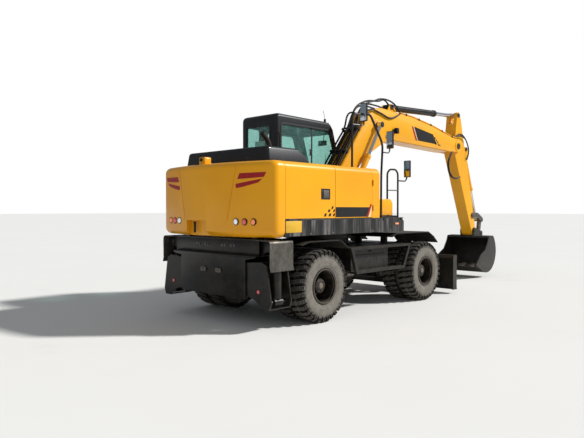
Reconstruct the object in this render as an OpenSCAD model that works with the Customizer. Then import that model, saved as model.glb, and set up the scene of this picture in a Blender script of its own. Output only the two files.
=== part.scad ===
// Wheeled excavator: four pairs of wheels, a front blade, two rear outriggers, a slewing house
// with a cab on its left, and a one-piece boom with arm and bucket.
// Origin: on the ground, below the slewing axis. +X forward, +Y left, +Z up. Millimetres.

/* [Wheels] */
// Distance between the two axles
wheelbase = 2850; // [2600:10:3100]
// Slewing axis to the rear axle
rear_axle_back = 1275; // [1175:5:1375]
// Radius over the tips of the lugs
tyre_r = 530; // [510:1:545]
// Width of one tyre
tyre_w = 280; // [250:1:300]
// Gap between the two tyres of a pair
tyre_gap = 60; // [40:1:90]
// Machine centre to the outer face of the outer tyre
wheel_out = 1250; // [1230:1:1270]
// Lugs round one tyre
lug_n = 28; // [20:1:36]
// Depth of a lug
lug_depth = 32; // [20:1:40]
// Radius of the rim's seat
bead_r = 255; // [245:1:262]

/* [Undercarriage] */
// Half width of the main frame
frame_half = 360; // [320:5:375]
// Top of the main frame
frame_top = 1010; // [990:5:1030]
// Underside of the main frame over an axle
frame_arch = 760; // [750:5:780]
// Underside of the main frame between the axles
frame_low = 640; // [620:5:660]
// Radius of the slewing ring
ring_r = 600; // [560:5:620]
// Height of the slewing joint
slew_z = 1220; // [1215:1:1225]
// Machine centre to a kingpin
kingpin_y = 690; // [680:5:700]
// Kingpin to the eye of the tie rod
steer_arm = 120; // [100:5:125]
// Outer face of the steps
step_out = 1200; // [1150:5:1230]
// Upper face of the front mudguards
guard_z = 1240; // [1215:5:1250]

/* [Blade] */
// Half width of the blade
blade_half = 1250; // [1150:10:1300]
// Front of the blade's plate
blade_x = 2750; // [2700:10:2850]
// Height of the blade's plate
blade_h = 670; // [550:10:700]
// Ground to the blade's cutting edge
blade_lift = 80; // [60:5:150]
// Height of the lower blade pins
blade_pin_z = 330; // [300:5:360]
// Lower pins to upper pins
blade_pin_gap = 260; // [220:5:300]

/* [Outriggers] */
// Rear face of the outrigger box
rig_rear = 2365; // [2330:5:2400]
// Front face of the outrigger box
rig_front = 1910; // [1890:5:1950]
// Machine centre to an arm's pivot
rig_pin_y = 170; // [150:5:200]
// Height of the arms' pivots
rig_pin_z = 770; // [740:5:800]
// Machine centre to a cylinder
rig_cyl_y = 1100; // [1080:5:1120]
// Height of a cylinder's lower pin
rig_cyl_low = 385; // [370:5:400]
// Height of a cylinder's upper pin
rig_cyl_top = 1140; // [1120:5:1150]

/* [House] */
// Half width of the house
house_half = 1250; // [1230:5:1260]
// Slewing axis to the rearmost point of the counterweight
tail_r = 2500; // [2450:10:2550]
// Slewing axis to the joint between counterweight and doors
tail_seam = 2120; // [2080:10:2150]
// Slewing axis to the seam between the two right doors
door_seam = 1048; // [980:2:1100]
// Front end of the right front door
door_front = -110; // [-150:5:-60]
// Front end of the right body
body_front = 90; // [60:5:120]
// Front end of the left body, behind the cab
left_front = -700; // [-740:5:-690]
// Front end of the deck
deck_front = 820; // [780:10:860]
// Underside of the house
house_low = 1276; // [1270:1:1285]
// Lower edge of the doors
door_low = 1506; // [1490:2:1520]
// Top of the body
body_top = 2300; // [2260:5:2340]
// Radius of the body's shoulder
shoulder_r = 100; // [70:5:105]
// Thickness of panels and doors
panel_t = 28; // [20:1:36]
// Gap round doors and lids
seam = 10; // [9:0.5:14]

/* [Cab] */
// Right wall of the cab
cab_right = 345; // [340:1:365]
// Left wall of the cab
cab_left = 1225; // [1200:5:1230]
// Rear wall of the cab
cab_rear = -665; // [-680:5:-650]
// Height of the roof
cab_top = 3265; // [3200:5:3300]
// Thickness of the cab's walls
cab_t = 45; // [35:1:55]

/* [Boom] */
// Boom foot, forward of the slewing axis
foot_x = 170; // [150:5:200]
// Boom foot, above the ground
foot_z = 1860; // [1840:5:1880]
// Half width of the boom
boom_half = 190; // [180:1:195]
// Centre of a boom cylinder from the centre plane
lift_y = 272; // [268:1:276]
// Pin of the boom cylinder on the house, forward
lift_base_x = 500; // [490:5:520]
// Pin of the boom cylinder on the house, above the ground
lift_base_z = 1660; // [1650:5:1680]

/* [Arm] */
// Arm pivot to bucket pin
arm_len = 2219; // [2100:10:2300]
// Half width of the arm
arm_half = 135; // [120:1:140]
// Rocker from its pivot to its outer pin
rocker_len = 495; // [485:1:500]

/* [Bucket] */
// Half width of the bucket
bucket_half = 550; // [450:5:600]
// Radius of the bucket's back
bucket_r = 508; // [500:1:515]
// Thickness of the bucket's plates
bucket_t = 25; // [16:1:30]
// Number of teeth
tooth_n = 5; // [4:1:7]

/* [Hidden] */
$fn = 48;
eps = 0.5;
fit = 0.05;
slip = 0.3;
paint = [0.90, 0.60, 0.10];
black = [0.10, 0.10, 0.11];
steel = [0.62, 0.62, 0.64];
rubber = [0.16, 0.16, 0.16];

front_x = wheelbase - rear_axle_back;
rear_x = -rear_axle_back;
lug_half = 360 / lug_n * 0.26;
hub_z = tyre_r * cos(lug_half);
inner_in = wheel_out - 2 * tyre_w - tyre_gap;
outer_in = wheel_out - tyre_w;

// Places in the boom's plane are [forward, up].
foot = [foot_x, foot_z];
lift_base = [lift_base_x, lift_base_z];
lift_pin = [1550, 3260];
arm_pin = [4870, 3120];
arm_slope = 64.9;
arm_tail = [2200, 3700];
function arm_at(u, n) = arm_pin
    + u * [cos(arm_slope), -sin(arm_slope)] + n * [sin(arm_slope), cos(arm_slope)];
arm_head = arm_at(-619, 422);
bucket_pin = arm_at(arm_len, 0);
rocker_pin = arm_at(arm_len - 380, 97);
crowd_base = arm_at(277, 556);
rocker_dip = 13.3;
rocker_end = rocker_pin + rocker_len * [cos(rocker_dip), -sin(rocker_dip)];
link_pin = bucket_pin + [342, -75];

function dist(a, b) = norm(b - a);
function heading(a, b) = atan2(b[1] - a[1], b[0] - a[0]);
function arc(c, r, a0, a1, n) = [for (i = [0:n]) let (a = a0 + (a1 - a0) * i / n) c + r * [cos(a), sin(a)]];
function flip(points) = [for (p = points) [-p[0], p[1]]];

// An outline in forward and up, made solid between two distances to the left
module plate_y(y0, y1) {
    translate([0, y1, 0]) rotate([90, 0, 0]) linear_extrude(height = y1 - y0) children();
}

// An outline in left and up, made solid between two distances forward
module plate_x(x0, x1) {
    translate([x0, 0, 0]) rotate([90, 0, 90]) linear_extrude(height = x1 - x0) children();
}

module plate_z(z0, z1) {
    translate([0, 0, z0]) linear_extrude(height = z1 - z0) children();
}

module slab(x0, x1, y0, y1, z0, z1) {
    translate([x0, y0, z0]) cube([x1 - x0, y1 - y0, z1 - z0]);
}

module rod_y(p, r, y0, y1) {
    translate([p[0], y0, p[1]]) rotate([-90, 0, 0]) cylinder(r = r, h = y1 - y0);
}

module rod_x(y, z, r, x0, x1) {
    translate([x0, y, z]) rotate([0, 90, 0]) cylinder(r = r, h = x1 - x0);
}

module rod_z(x, y, r, z0, z1) {
    translate([x, y, z0]) cylinder(r = r, h = z1 - z0);
}

module both() {
    children();
    mirror([0, 1, 0]) children();
}

// Puts a shape that lies along +X at a pin of the boom's plane, pointing along a heading
module along(p, angle, y = 0) {
    translate([p[0], y, p[1]]) rotate([0, -angle, 0]) children();
}

// Barrel of a cylinder along +X: eye at the origin, bore open at its far end
module barrel(len, r, rod_r, eye_r, eye_w, pin_r, bore_from, gland = 9) {
    difference() {
        union() {
            rod_y([0, 0], eye_r, -eye_w / 2, eye_w / 2);
            rod_x(0, 0, r, eye_r * 0.8, len);
            rod_x(0, 0, r + gland, len - 60, len);
        }
        rod_y([0, 0], pin_r + fit, -eye_w, eye_w);
        rod_x(0, 0, rod_r + slip, bore_from, len + 1);
    }
}

// Rod of a cylinder along +X, with a closed eye at its far end
module piston_rod(from, len, rod_r, eye_r, eye_w) {
    rod_x(0, 0, rod_r, from, len);
    rod_y([len, 0], eye_r, -eye_w / 2, eye_w / 2);
}

// Wheels, drawn for the left side at the machine's centre

tyre_profile = [
    [bead_r, 25], [bead_r + 25, 10], [bead_r + 90, 0], [tyre_r - lug_depth - 70, 0],
    [tyre_r - lug_depth - 20, 16], [tyre_r - lug_depth, 45]
];
module tyre(y0) {
    low = tyre_r - lug_depth;
    translate([0, y0, 0]) rotate([-90, 0, 0]) union() {
        rotate_extrude($fn = 60) polygon(concat(
            tyre_profile, [for (i = [5:-1:0]) [tyre_profile[i][0], tyre_w - tyre_profile[i][1]]]));
        difference() {
            translate([0, 0, 6]) linear_extrude(height = tyre_w - 12) polygon([
                for (i = [0:lug_n - 1], k = [[-1.5, 0], [-1, 1], [1, 1], [1.5, 0]])
                    let (a = 90 + 360 * i / lug_n + k[0] * lug_half, r = k[1] == 1 ? tyre_r : low - 8)
                        [r * cos(a), r * sin(a)]]);
            translate([0, 0, -1]) cylinder(r = low - 30, h = tyre_w + 2);
        }
    }
}

module tyres(x) {
    color(rubber) translate([x, 0, hub_z]) {
        tyre(inner_in);
        tyre(outer_in);
    }
}

hub_in = inner_in + 240;
hub_bore = 60;
module rims(x) {
    out = wheel_out - 8;
    disc = outer_in - 70;
    seat = bead_r - slip;
    color(black) translate([x, 0, hub_z]) rotate([-90, 0, 0]) rotate_extrude($fn = 60) polygon([
        [hub_bore, hub_in], [150, hub_in], [150, disc], [seat - 20, disc],
        [seat - 20, inner_in + 6], [seat + 10, inner_in + 6], [seat + 10, inner_in + 14],
        [seat, inner_in + 20], [seat, out - 12], [seat + 10, out - 6], [seat + 10, out],
        [seat - 20, out], [seat - 20, disc + 20], [150, disc + 20], [150, disc + 150], [105, disc + 165],
        [105, disc + 250], [60, disc + 262], [0, disc + 262], [0, disc + 100], [hub_bore, disc + 100]]);
}

// Stub that carries a wheel, from an inner distance out into its hub
module stub(x, y0, flange_from) {
    rod_y([x, hub_z], 115, flange_from, hub_in - 8);
    rod_y([x, hub_z], hub_bore - fit, y0, outer_in + 25);
}

// Undercarriage

module frame_side() {
    polygon([
        [-rig_front, frame_top], [-rig_front, 700], [rear_x - 280, 700], [rear_x - 230, frame_arch],
        [rear_x + 230, frame_arch], [rear_x + 300, frame_low], [front_x - 300, frame_low],
        [front_x - 235, frame_arch], [front_x + 235, frame_arch], [front_x + 290, frame_low],
        [front_x + 410, frame_low], [front_x + 410, frame_top]]);
}

blade_ear_x = front_x + 490;
blade_arm_y = 270;
blade_cyl_y = 120;
blade_base = [front_x + 490, 900];
module chassis_frame() {
    color(black) union() {
        plate_y(-frame_half, frame_half) frame_side();
        plate_z(frame_low + 20, frame_top) polygon([
            [-620, -frame_half], [-420, -500], [620, -500], [760, -frame_half],
            [760, frame_half], [620, 500], [-420, 500], [-620, frame_half]]);
        rod_z(0, 0, 495, frame_top - 20, 1060);
        rod_z(0, 0, ring_r - 50, 1055, 1165);
        difference() {
            rod_z(0, 0, ring_r, 1160, slew_z);
            rod_z(0, 0, ring_r - 90, 1166, slew_z + 1);
        }
        for (side = [-1, 1]) {
            translate([front_x + side * 212, 0, 0]) plate_x(-20, 20) polygon(concat(
                [[-120, frame_arch + 5]], arc([0, 690], 90, 180, 360, 8), [[120, frame_arch + 5]]));
        }
        rod_x(0, 690, 40, front_x - 240, front_x + 240);
        both() {
            plate_y(blade_arm_y - 75, blade_arm_y - 45) polygon([
                [front_x + 405, 1000], [front_x + 405, 300], [blade_ear_x - 10, 250],
                [blade_ear_x + 60, 270], [blade_ear_x + 60, 700], [blade_ear_x, 1000]]);
            rod_y([blade_ear_x, blade_pin_z], 26, blade_arm_y - 60, blade_arm_y + 48);
            rod_y([blade_ear_x, blade_pin_z + blade_pin_gap], 26, blade_arm_y - 60, blade_arm_y + 48);
            for (y = [blade_cyl_y - 80, blade_cyl_y + 60])
                slab(front_x + 405, blade_base[0] + 45, y, y + 20, blade_base[1] - 50, blade_base[1] + 50);
            rod_y(blade_base, 24, blade_cyl_y - 70, blade_cyl_y + 70);
            difference() {
                plate_y(frame_half - 5, frame_half + 30) polygon(concat(
                    [[-rig_front, 900]], [[-rig_front, 760], [-rig_front + 120, 760]],
                    arc([-rig_front + 120, 830], 70, -90, 90, 8), [[-rig_front, 900]]));
                rod_y([-rig_front + 120, 830], 30, frame_half - 50, frame_half + 60);
            }
        }
        slab(front_x + 405, front_x + 425, -blade_arm_y, blade_arm_y, 300, 1000);
    }
}

module drive_shafts() {
    color(black) union() {
        slab(-120, 330, -190, 190, 430, frame_low);
        rod_x(0, hub_z - 20, 42, rear_x + 205, -110);
        rod_x(0, hub_z - 20, 42, 320, front_x - 215);
        for (x = [rear_x + 200, -150, 320, front_x - 250]) rod_x(0, hub_z - 20, 70, x, x + 40);
    }
}

module axle_body(x, tube_r, end_y) {
    rod_y([x, hub_z], tube_r, -end_y, end_y);
    rod_y([x, hub_z], 185, -90, 90);
    both() translate([x, 80, hub_z]) rotate([-90, 0, 0]) cylinder(r1 = 180, r2 = 115, h = 150);
    rod_x(0, hub_z - 20, 78, x - 210, x + 200);
}

module rear_axle() {
    color(black) union() {
        axle_body(rear_x, 95, hub_in - 60);
        both() {
            stub(rear_x, hub_in - 130, hub_in - 130);
            slab(rear_x - 120, rear_x + 120, 225, 335, hub_z, frame_arch);
        }
    }
}

tie_z = hub_z - 66;
tie_back = 250;
tie_drop = 48;
steer_cyl = [front_x - tie_back - 90, tie_z - tie_drop];
steer_eye_y = 290;
module front_axle() {
    color(black) union() {
        difference() {
            union() {
                axle_body(front_x, 85, kingpin_y - 110);
                slab(front_x - 170, front_x + 170, -75, 75, hub_z, frame_arch - 10);
            }
            rod_x(0, 690, 40 + fit, front_x - 400, front_x + 400);
        }
        both() for (side = [-1, 1]) difference() {
            plate_z(hub_z + side * 125 - 30, hub_z + side * 125 + 30) polygon(concat(
                [[front_x - 60, kingpin_y - 190], [front_x + 60, kingpin_y - 190]],
                arc([front_x, kingpin_y], 55, 0, 180, 10)));
            rod_z(front_x, kingpin_y, 30 + fit, 0, 1000);
        }
        both() slab(front_x - 60, front_x + 60, kingpin_y - 190, kingpin_y - 120, hub_z - 130, hub_z + 130);
        difference() {
            union() {
                rod_y(steer_cyl, 38, -380, 80);
                for (y = [-345, -255]) plate_y(y, y + 25) polygon([
                    [front_x - 70, hub_z - 60], [front_x - 70, hub_z + 40], [steer_cyl[0] - 30, steer_cyl[1] + 70],
                    [steer_cyl[0] - 30, steer_cyl[1] + 25], [steer_cyl[0] + 60, steer_cyl[1] + 25]]);
            }
            rod_y(steer_cyl, 18 + slip, -330, 90);
        }
    }
}

// Knuckle for the left side: kingpins, stub for the wheel and arm for the tie rod
module knuckle() {
    color(black) union() {
        rod_z(front_x, kingpin_y, 30, hub_z - 165, hub_z + 165);
        rod_z(front_x, kingpin_y, 62, hub_z - 90, hub_z + 90);
        stub(front_x, kingpin_y + 20, kingpin_y + 65);
        plate_z(tie_z - 22, tie_z - 8) polygon(concat(
            arc([front_x, kingpin_y], 60, -60, 60, 6), arc([front_x - steer_arm, kingpin_y], 30, 90, 270, 8)));
        rod_z(front_x - steer_arm, kingpin_y, 14, tie_z - 10, tie_z + 24);
    }
}

// Round bar through points, its bends closed by balls
module tube_path(points, r) {
    last = len(points) - 2;
    for (i = [0:last]) {
        a = points[i];
        v = points[i + 1] - a;
        from = i > 0 ? 0.6 * r : 0;
        to = i < last ? norm(v) - 0.6 * r : norm(v);
        translate(a) rotate([0, acos(v[2] / norm(v)), atan2(v[1], v[0])])
            translate([0, 0, from]) cylinder(r = r, h = to - from);
        if (i > 0) translate(a) sphere(r = r * 1.25);
    }
}

module tie_rod() {
    x = front_x - steer_arm;
    back = front_x - tie_back;
    z = steer_cyl[1];
    color(steel) union() {
        both() {
            difference() {
                plate_z(tie_z - 8 + slip, tie_z + 16) polygon(concat(
                    arc([x, kingpin_y], 28, 0, 180, 10), [[x - 28, 590], [x + 10, 590]]));
                rod_z(x, kingpin_y, 14 + fit, tie_z - 50, tie_z + 50);
            }
            plate_z(z - 10, tie_z + 16) polygon([[x + 8, 595], [x - 26, 595], [back - 10, 430], [back + 18, 420]]);
        }
        rod_y([back, z], 12, -432, 432);
        translate([0, steer_eye_y, z]) {
            slab(steer_cyl[0] - 20, back + 10, -25, 25, 20, 34);
            slab(back - 10, back + 10, -25, 25, 0, 34);
        }
        rod_z(steer_cyl[0], steer_eye_y, 14, z - 16, z + 30);
    }
}

// Rod of the steering cylinder, with a slotted eye, because the tie rod also swings forward
module steer_rod() {
    slack = 12;
    color(steel) difference() {
        union() {
            rod_y(steer_cyl, 18, -240, steer_eye_y - 25);
            plate_z(steer_cyl[1] - 14, steer_cyl[1] + 2) polygon(concat(
                arc([steer_cyl[0], steer_eye_y], 32, 90, 270, 8),
                arc([steer_cyl[0] + slack, steer_eye_y], 32, -90, 90, 8)));
        }
        plate_z(steer_cyl[1] - 40, steer_cyl[1] + 40) polygon(concat(
            arc([steer_cyl[0], steer_eye_y], 16, 90, 270, 8), arc([steer_cyl[0] + slack, steer_eye_y], 16, -90, 90, 8)));
    }
}

module guard_sheet(points) {
    t = 14;
    polygon(concat(points, [for (i = [len(points) - 1:-1:0]) points[i] - [0, t]]));
}

module fenders_steps() {
    color(black) both() {
        union() {
            plate_y(340, step_out + 35) guard_sheet([[-1770, 1150], [-1600, 1190], [-900, 1190], [-690, 1060]]);
            for (x = [-1500, -1050]) slab(x, x + 60, 300, 420, frame_top, 1180);
        }
        union() {
            plate_y(frame_half - 10, step_out + 35) guard_sheet([
                [500, guard_z - 50], [640, guard_z], [front_x + 110, guard_z],
                [front_x + 300, guard_z - 90], [front_x + 440, guard_z - 200]]);
            for (x = [700, front_x - 60]) slab(x, x + 60, 300, 420, frame_top, guard_z - 5);
        }
        union() {
            slab(-420, 620, 500, 1060, frame_low + 20, frame_top + 20);
            slab(-560, 1060, 620, step_out, frame_top + 20, frame_top + 40);
            plate_y(step_out - 50, step_out) difference() {
                polygon([[-600, frame_top + 40], [-440, frame_low - 10], [930, frame_low - 10], [1140, frame_top + 40]]);
                polygon([[-520, frame_top], [-400, frame_low + 40], [895, frame_low + 40], [1060, frame_top]]);
            }
            slab(-440, 780, 1050, step_out, frame_low - 10, frame_low + 25);
        }
    }
}

// Outriggers, drawn for the left side

rig_mid = -(rig_rear + rig_front) / 2;
rig_plate = 15;
rig_half = (rig_rear - rig_front) / 2 - rig_plate - 10;
module outrigger_carrier() {
    color(black) union() {
        for (x = [-rig_rear, -rig_front - rig_plate]) plate_x(x, x + rig_plate) polygon([
            [-725, 440], [-690, 410], [690, 410], [725, 440], [725, 960], [930, 1000], [930, 1240], [-930, 1240],
            [-930, 1000], [-725, 960]]);
        slab(-rig_rear, -rig_front, -930, 930, 1000, 1015);
        slab(-rig_rear, -rig_front, -960, 960, 1215, 1240);
        both() {
            rod_x(rig_pin_y, rig_pin_z, 45, -rig_rear - 12, -rig_front);
            for (x = [rig_mid - 110, rig_mid + 80]) plate_x(x, x + 30) polygon(concat(
                [[920, 1240], [920, 1005], [1020, 1060]], arc([rig_cyl_y, rig_cyl_top], 75, -60, 60, 6), [[1100, 1240]]));
            slab(-rig_rear + 5, -rig_front - 5, 925, wheel_out - 25, 1215, 1230);
            slab(-rig_rear + 5, -rig_front - 5, wheel_out - 40, wheel_out - 25, 810, 1230);
            for (x = [rig_mid - 125, rig_mid + 110])
                rod_x(rig_cyl_y, rig_cyl_top, 50, x, x + 15);
        }
    }
}

module outrigger_arm() {
    color(black) difference() {
        plate_x(rig_mid - rig_half, rig_mid + rig_half) polygon(concat(
            arc([rig_pin_y, rig_pin_z], 110, 95, 260, 12),
            [[rig_pin_y + 200, 560], [900, 410], [1040, 300], [1170, 300], [1205, 390], [1120, 890], [1030, 930]]));
        rod_x(rig_pin_y, rig_pin_z, 45 + fit, -rig_rear - 20, -rig_front + 20);
        slab(rig_mid - rig_half + 20, rig_mid + rig_half - 20, 840, 1300, 316, 1000);
    }
    color(black) rod_x(rig_cyl_y, rig_cyl_low, 35, rig_mid - rig_half + 5, rig_mid + rig_half - 5);
}

rig_len = rig_cyl_top - rig_cyl_low;
module outrigger_barrel() {
    color(black) translate([rig_mid, rig_cyl_y, rig_cyl_low]) rotate([0, -90, 0]) rotate([90, 0, 0])
        barrel(rig_len - 160, 72, 40, 62, 150, 35, 90);
}

module outrigger_rod() {
    color(steel) translate([rig_mid, rig_cyl_y, rig_cyl_low]) rotate([0, -90, 0]) rotate([90, 0, 0])
        piston_rod(100, rig_len, 40, 55, 130);
}

// Blade: parallel linkage, so that the blade stays upright

blade_back = blade_x - 150;
blade_lug_x = blade_back - 60;
blade_reach = blade_lug_x - blade_ear_x;
blade_rod_end = [blade_lug_x - 20, blade_pin_z + 170];
module blade_lower_arms() {
    z = blade_pin_z;
    color(black) union() {
        both() difference() {
            plate_y(blade_arm_y - 30, blade_arm_y + 30) polygon(concat(
                arc([blade_ear_x, z], 55, 90, 270, 8), arc([blade_lug_x, z], 55, -90, 90, 8)));
            rod_y([blade_ear_x, z], 26 + fit, 0, 500);
            rod_y([blade_lug_x, z], 26 + fit, 0, 500);
        }
        slab(blade_ear_x + 100, blade_ear_x + 170, -blade_arm_y, blade_arm_y, z - 40, z + 40);
    }
}

module blade_upper_links() {
    z = blade_pin_z + blade_pin_gap;
    color(black) both() difference() {
        plate_y(blade_arm_y - 25, blade_arm_y + 25) polygon(concat(
            arc([blade_ear_x, z], 48, 90, 270, 8), arc([blade_lug_x, z], 48, -90, 90, 8)));
        rod_y([blade_ear_x, z], 26 + fit, 0, 500);
        rod_y([blade_lug_x, z], 26 + fit, 0, 500);
    }
}

module blade() {
    r = 900;
    top = blade_lift + blade_h;
    color(black) union() {
        plate_y(-blade_half, blade_half) polygon(concat(
            arc([blade_x + r - 60, (blade_lift + top) / 2 + 30], r, 180 + 24, 180 - 20, 10),
            [[blade_x - 5, top], [blade_x - 60, top], [blade_back + 20, top - 60], [blade_back + 20, blade_lift + 60],
             [blade_back + 60, blade_lift]]));
        both() {
            slab(blade_back + 5, blade_x, blade_half - 20, blade_half, blade_lift, top - 5);
            for (y = [blade_arm_y - 65, blade_arm_y + 40]) plate_y(y, y + 25) polygon([
                [blade_back + 25, 620], [blade_lug_x - 50, 620], [blade_lug_x - 50, 290], [blade_lug_x - 20, 270],
                [blade_back + 25, 270]]);
            for (z = [blade_pin_z, blade_pin_z + blade_pin_gap])
                rod_y([blade_lug_x, z], 26, blade_arm_y - 50, blade_arm_y + 50);
            for (y = [blade_cyl_y - 62, blade_cyl_y + 38]) plate_y(y, y + 24) polygon([
                [blade_back + 25, 580], [blade_rod_end[0] - 45, 540], [blade_rod_end[0] - 45, 460], [blade_back + 25, 420]]);
        }
    }
}

blade_len = dist(blade_base, blade_rod_end);
module blade_barrels() {
    color(black) both() along(blade_base, heading(blade_base, blade_rod_end), blade_cyl_y)
        barrel(375, 48, 26, 46, 110, 24, 60);
}

module blade_rods() {
    color(steel) both() along(blade_base, heading(blade_base, blade_rod_end), blade_cyl_y)
        piston_rod(blade_len - 352, blade_len, 26, 40, 66);
}

// House

ear_y = boom_half + 5.5;
ear_t = 15;
beam_t = 40;
beam_top = house_low + 140;
notch_x = 2230;
module house_frame() {
    color(black) union() {
        rod_z(0, 0, ring_r - 10, slew_z + eps, house_low + 10);
        slab(-tail_seam, deck_front - 40, -house_half + 40, house_half - 40, house_low, house_low + 30);
        both() {
            plate_y(ear_y, ear_y + ear_t) polygon(concat(
                [[-500, 1450], [-120, 1560]], arc(foot, 120, 150, 60, 5), arc(lift_base, 62, 60, -60, 6), [[560, 1400]]));
            plate_y(ear_y, ear_y + beam_t) polygon([
                [-notch_x, house_low], [-notch_x, beam_top], [-1100, beam_top], [-500, 1480], [540, 1480],
                [deck_front - 50, 1380], [deck_front - 50, house_low]]);
            plate_y(house_half - 28, house_half) polygon([
                [-tail_seam, house_low], [-tail_seam, door_low - seam], [deck_front - 60, door_low - seam],
                [deck_front, 1440], [deck_front, house_low]]);
            slab(-tail_seam, deck_front - 60, house_half - 90, house_half - 20, door_low - 24, door_low);
            for (x = [-1500, -720]) slab(x, x + 25, ear_y + 10, house_half - 20, house_low, beam_top);
            rod_y(lift_base, 35, ear_y + 5, lift_y + 42);
        }
        rod_y(foot, 40, -ear_y - ear_t - 10, ear_y + ear_t + 10);
        slab(-560, -520, -ear_y - 5, ear_y + 5, house_low, 1460);
        slab(deck_front - 45, deck_front - 20, -house_half + 20, house_half - 20, house_low, 1450);
        slab(300, 325, ear_y + 10, house_half - 20, house_low, door_low - 40);
    }
}

module counterweight() {
    bulge_r = 4200;
    half = asin((house_half - 120) / bulge_r);
    side = tail_r - bulge_r * (1 - cos(half));
    color(paint) difference() {
        intersection() {
            plate_z(house_low - 16, body_top) polygon(concat(
                arc([-tail_r + bulge_r, 0], bulge_r, 180 - half, 180 + half, 12),
                arc([-side + 130, -house_half + 120], 120, 200, 270, 5),
                [[-tail_seam - 1, -house_half], [-tail_seam - 1, house_half]],
                arc([-side + 130, house_half - 120], 120, 90, 160, 5)));
            plate_y(-house_half - 1, house_half + 1) polygon(concat(
                [[-tail_seam, house_low - 16]], [[-2380, house_low - 16]], [[-tail_r - 10, house_low + 70]],
                [[-tail_r - 10, 2180]], arc([-tail_r + 130, 2165], 135, 170, 90, 8), [[-tail_seam, 2300]]));
        }
        slab(-tail_r - 10, -2380, -40, 430, house_low - 30, 1485);
        slab(-notch_x, -tail_seam + 5, -ear_y - beam_t - 10, ear_y + beam_t + 10, house_low - 20, 1440);
    }
    color(paint) slab(-2420, -2290, 190, 270, body_top - 1, body_top + 70);
}

module engine() {
    color(steel) slab(-1930, -1150, -420, 420, beam_top, 2120);
}

// Outline of the body across the machine, drawn in from its skin by a given depth
function body_arch(depth) = let (half = house_half - depth, top = body_top - depth, r = shoulder_r - depth) concat(
    [[-half, door_low]], arc([-half + r, top - r], r, 180, 90, 6), arc([half - r, top - r], r, 90, 0, 6),
    [[half, door_low]]);

lid_half_r = 930;
lid_half_l = 960;
lid_rear = -2040;
lid_front = -1130;
flange_y = house_half - shoulder_r - 4;
inner_y = 430;
jamb_t = 20;
jamb_w = 25;
door_spans = [
    // rear end, front end, side
    [-tail_seam + seam, -door_seam - seam / 2, -1],
    [-door_seam + seam / 2, door_front - seam / 2, -1],
    [-tail_seam + seam, left_front - 30 - seam, 1]
];
module door_recess(span, depth, edge) {
    mirror([0, span[2] > 0 ? 1 : 0, 0]) difference() {
        slab(span[0] - edge, span[1] + edge, -house_half - 10, -flange_y + edge / 2, door_low - 10, body_top + 10);
        plate_x(span[0] - 100, span[1] + 100) polygon(body_arch(depth));
    }
}

module body_panels() {
    wall = panel_t + slip + jamb_t;
    color(paint) difference() {
        union() {
            plate_x(-tail_seam, left_front) polygon(body_arch(0));
            intersection() {
                plate_x(left_front - 5, body_front) polygon(body_arch(0));
                slab(left_front - 10, body_front + 10, -house_half - 10, -inner_y, 1000, 3000);
            }
        }
        plate_x(-tail_seam - 5, left_front - panel_t) polygon(body_arch(wall));
        slab(-tail_seam - 5, left_front - panel_t, -house_half + wall, house_half - wall, 1400, 1600);
        intersection() {
            plate_x(left_front - panel_t - 1, body_front - panel_t) polygon(body_arch(wall));
            slab(left_front - 60, body_front, -house_half - 10, -inner_y - panel_t, 1400, 3000);
        }
        for (span = door_spans) {
            door_recess(span, panel_t + slip, seam / 2);
            mirror([0, span[2] > 0 ? 1 : 0, 0]) slab(span[0] + jamb_w, span[1] - jamb_w, -house_half - 10,
                -flange_y - jamb_w, 1400, body_top + 10);
        }
        slab(lid_rear + 30, lid_front - 30, -lid_half_r + 30, lid_half_l - 30, body_top - 100, body_top + 10);
    }
}

// A door of the body from its lower edge up over the shoulder
module body_door(span) {
    color(paint) mirror([0, span[2] > 0 ? 1 : 0, 0]) intersection() {
        plate_x(span[0], span[1]) difference() {
            polygon(body_arch(0));
            polygon(body_arch(panel_t));
        }
        slab(span[0] - 1, span[1] + 1, -house_half - 1, -flange_y - seam / 2, door_low + seam, body_top + 1);
    }
}

module hood_lid() {
    t = 12;
    color(black) difference() {
        hull() {
            slab(lid_rear, lid_front, -lid_half_r, lid_half_l, body_top + slip, body_top + 60);
            slab(lid_rear + 90, lid_front - 160, -lid_half_r + 130, lid_half_l - 110, body_top + 60, body_top + 215);
        }
        hull() {
            slab(lid_rear + t, lid_front - t, -lid_half_r + t, lid_half_l - t, body_top, body_top + 60 - t);
            slab(lid_rear + 90 + t, lid_front - 160 - t, -lid_half_r + 130 + t, lid_half_l - 110 - t, body_top + 60 - t, body_top + 215 - t);
        }
    }
}

// Cab

cab_low = door_low;
cab_side = [[cab_rear, cab_low], [cab_rear, cab_top - 60], [cab_rear + 60, cab_top], [780, cab_top - 20],
    [900, cab_top - 110], [1230, 2150], [1150, cab_low]];
win_side = [[cab_rear + 110, 2230], [cab_rear + 110, cab_top - 130], [770, cab_top - 130], [860, 2900], [1090, 2230]];
door_x0 = -120;
door_line = [[door_x0, 1570], [door_x0, cab_top - 110], [740, cab_top - 110], [810, cab_top - 180], [1120, 2150], [1050, 1570]];
door_glass_line = [[door_x0 + 80, 1900], [door_x0 + 80, cab_top - 180], [730, cab_top - 180], [1040, 2160], [1020, 1900]];

module scaled_outline(points, grow) {
    c = [for (k = [0, 1]) (min([for (p = points) p[k]]) + max([for (p = points) p[k]])) / 2];
    s = [for (k = [0, 1]) (max([for (p = points) p[k]]) - min([for (p = points) p[k]])) / 2];
    polygon([for (p = points) [for (k = [0, 1]) c[k] + (p[k] - c[k]) * (s[k] + grow) / s[k]]]);
}

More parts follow.
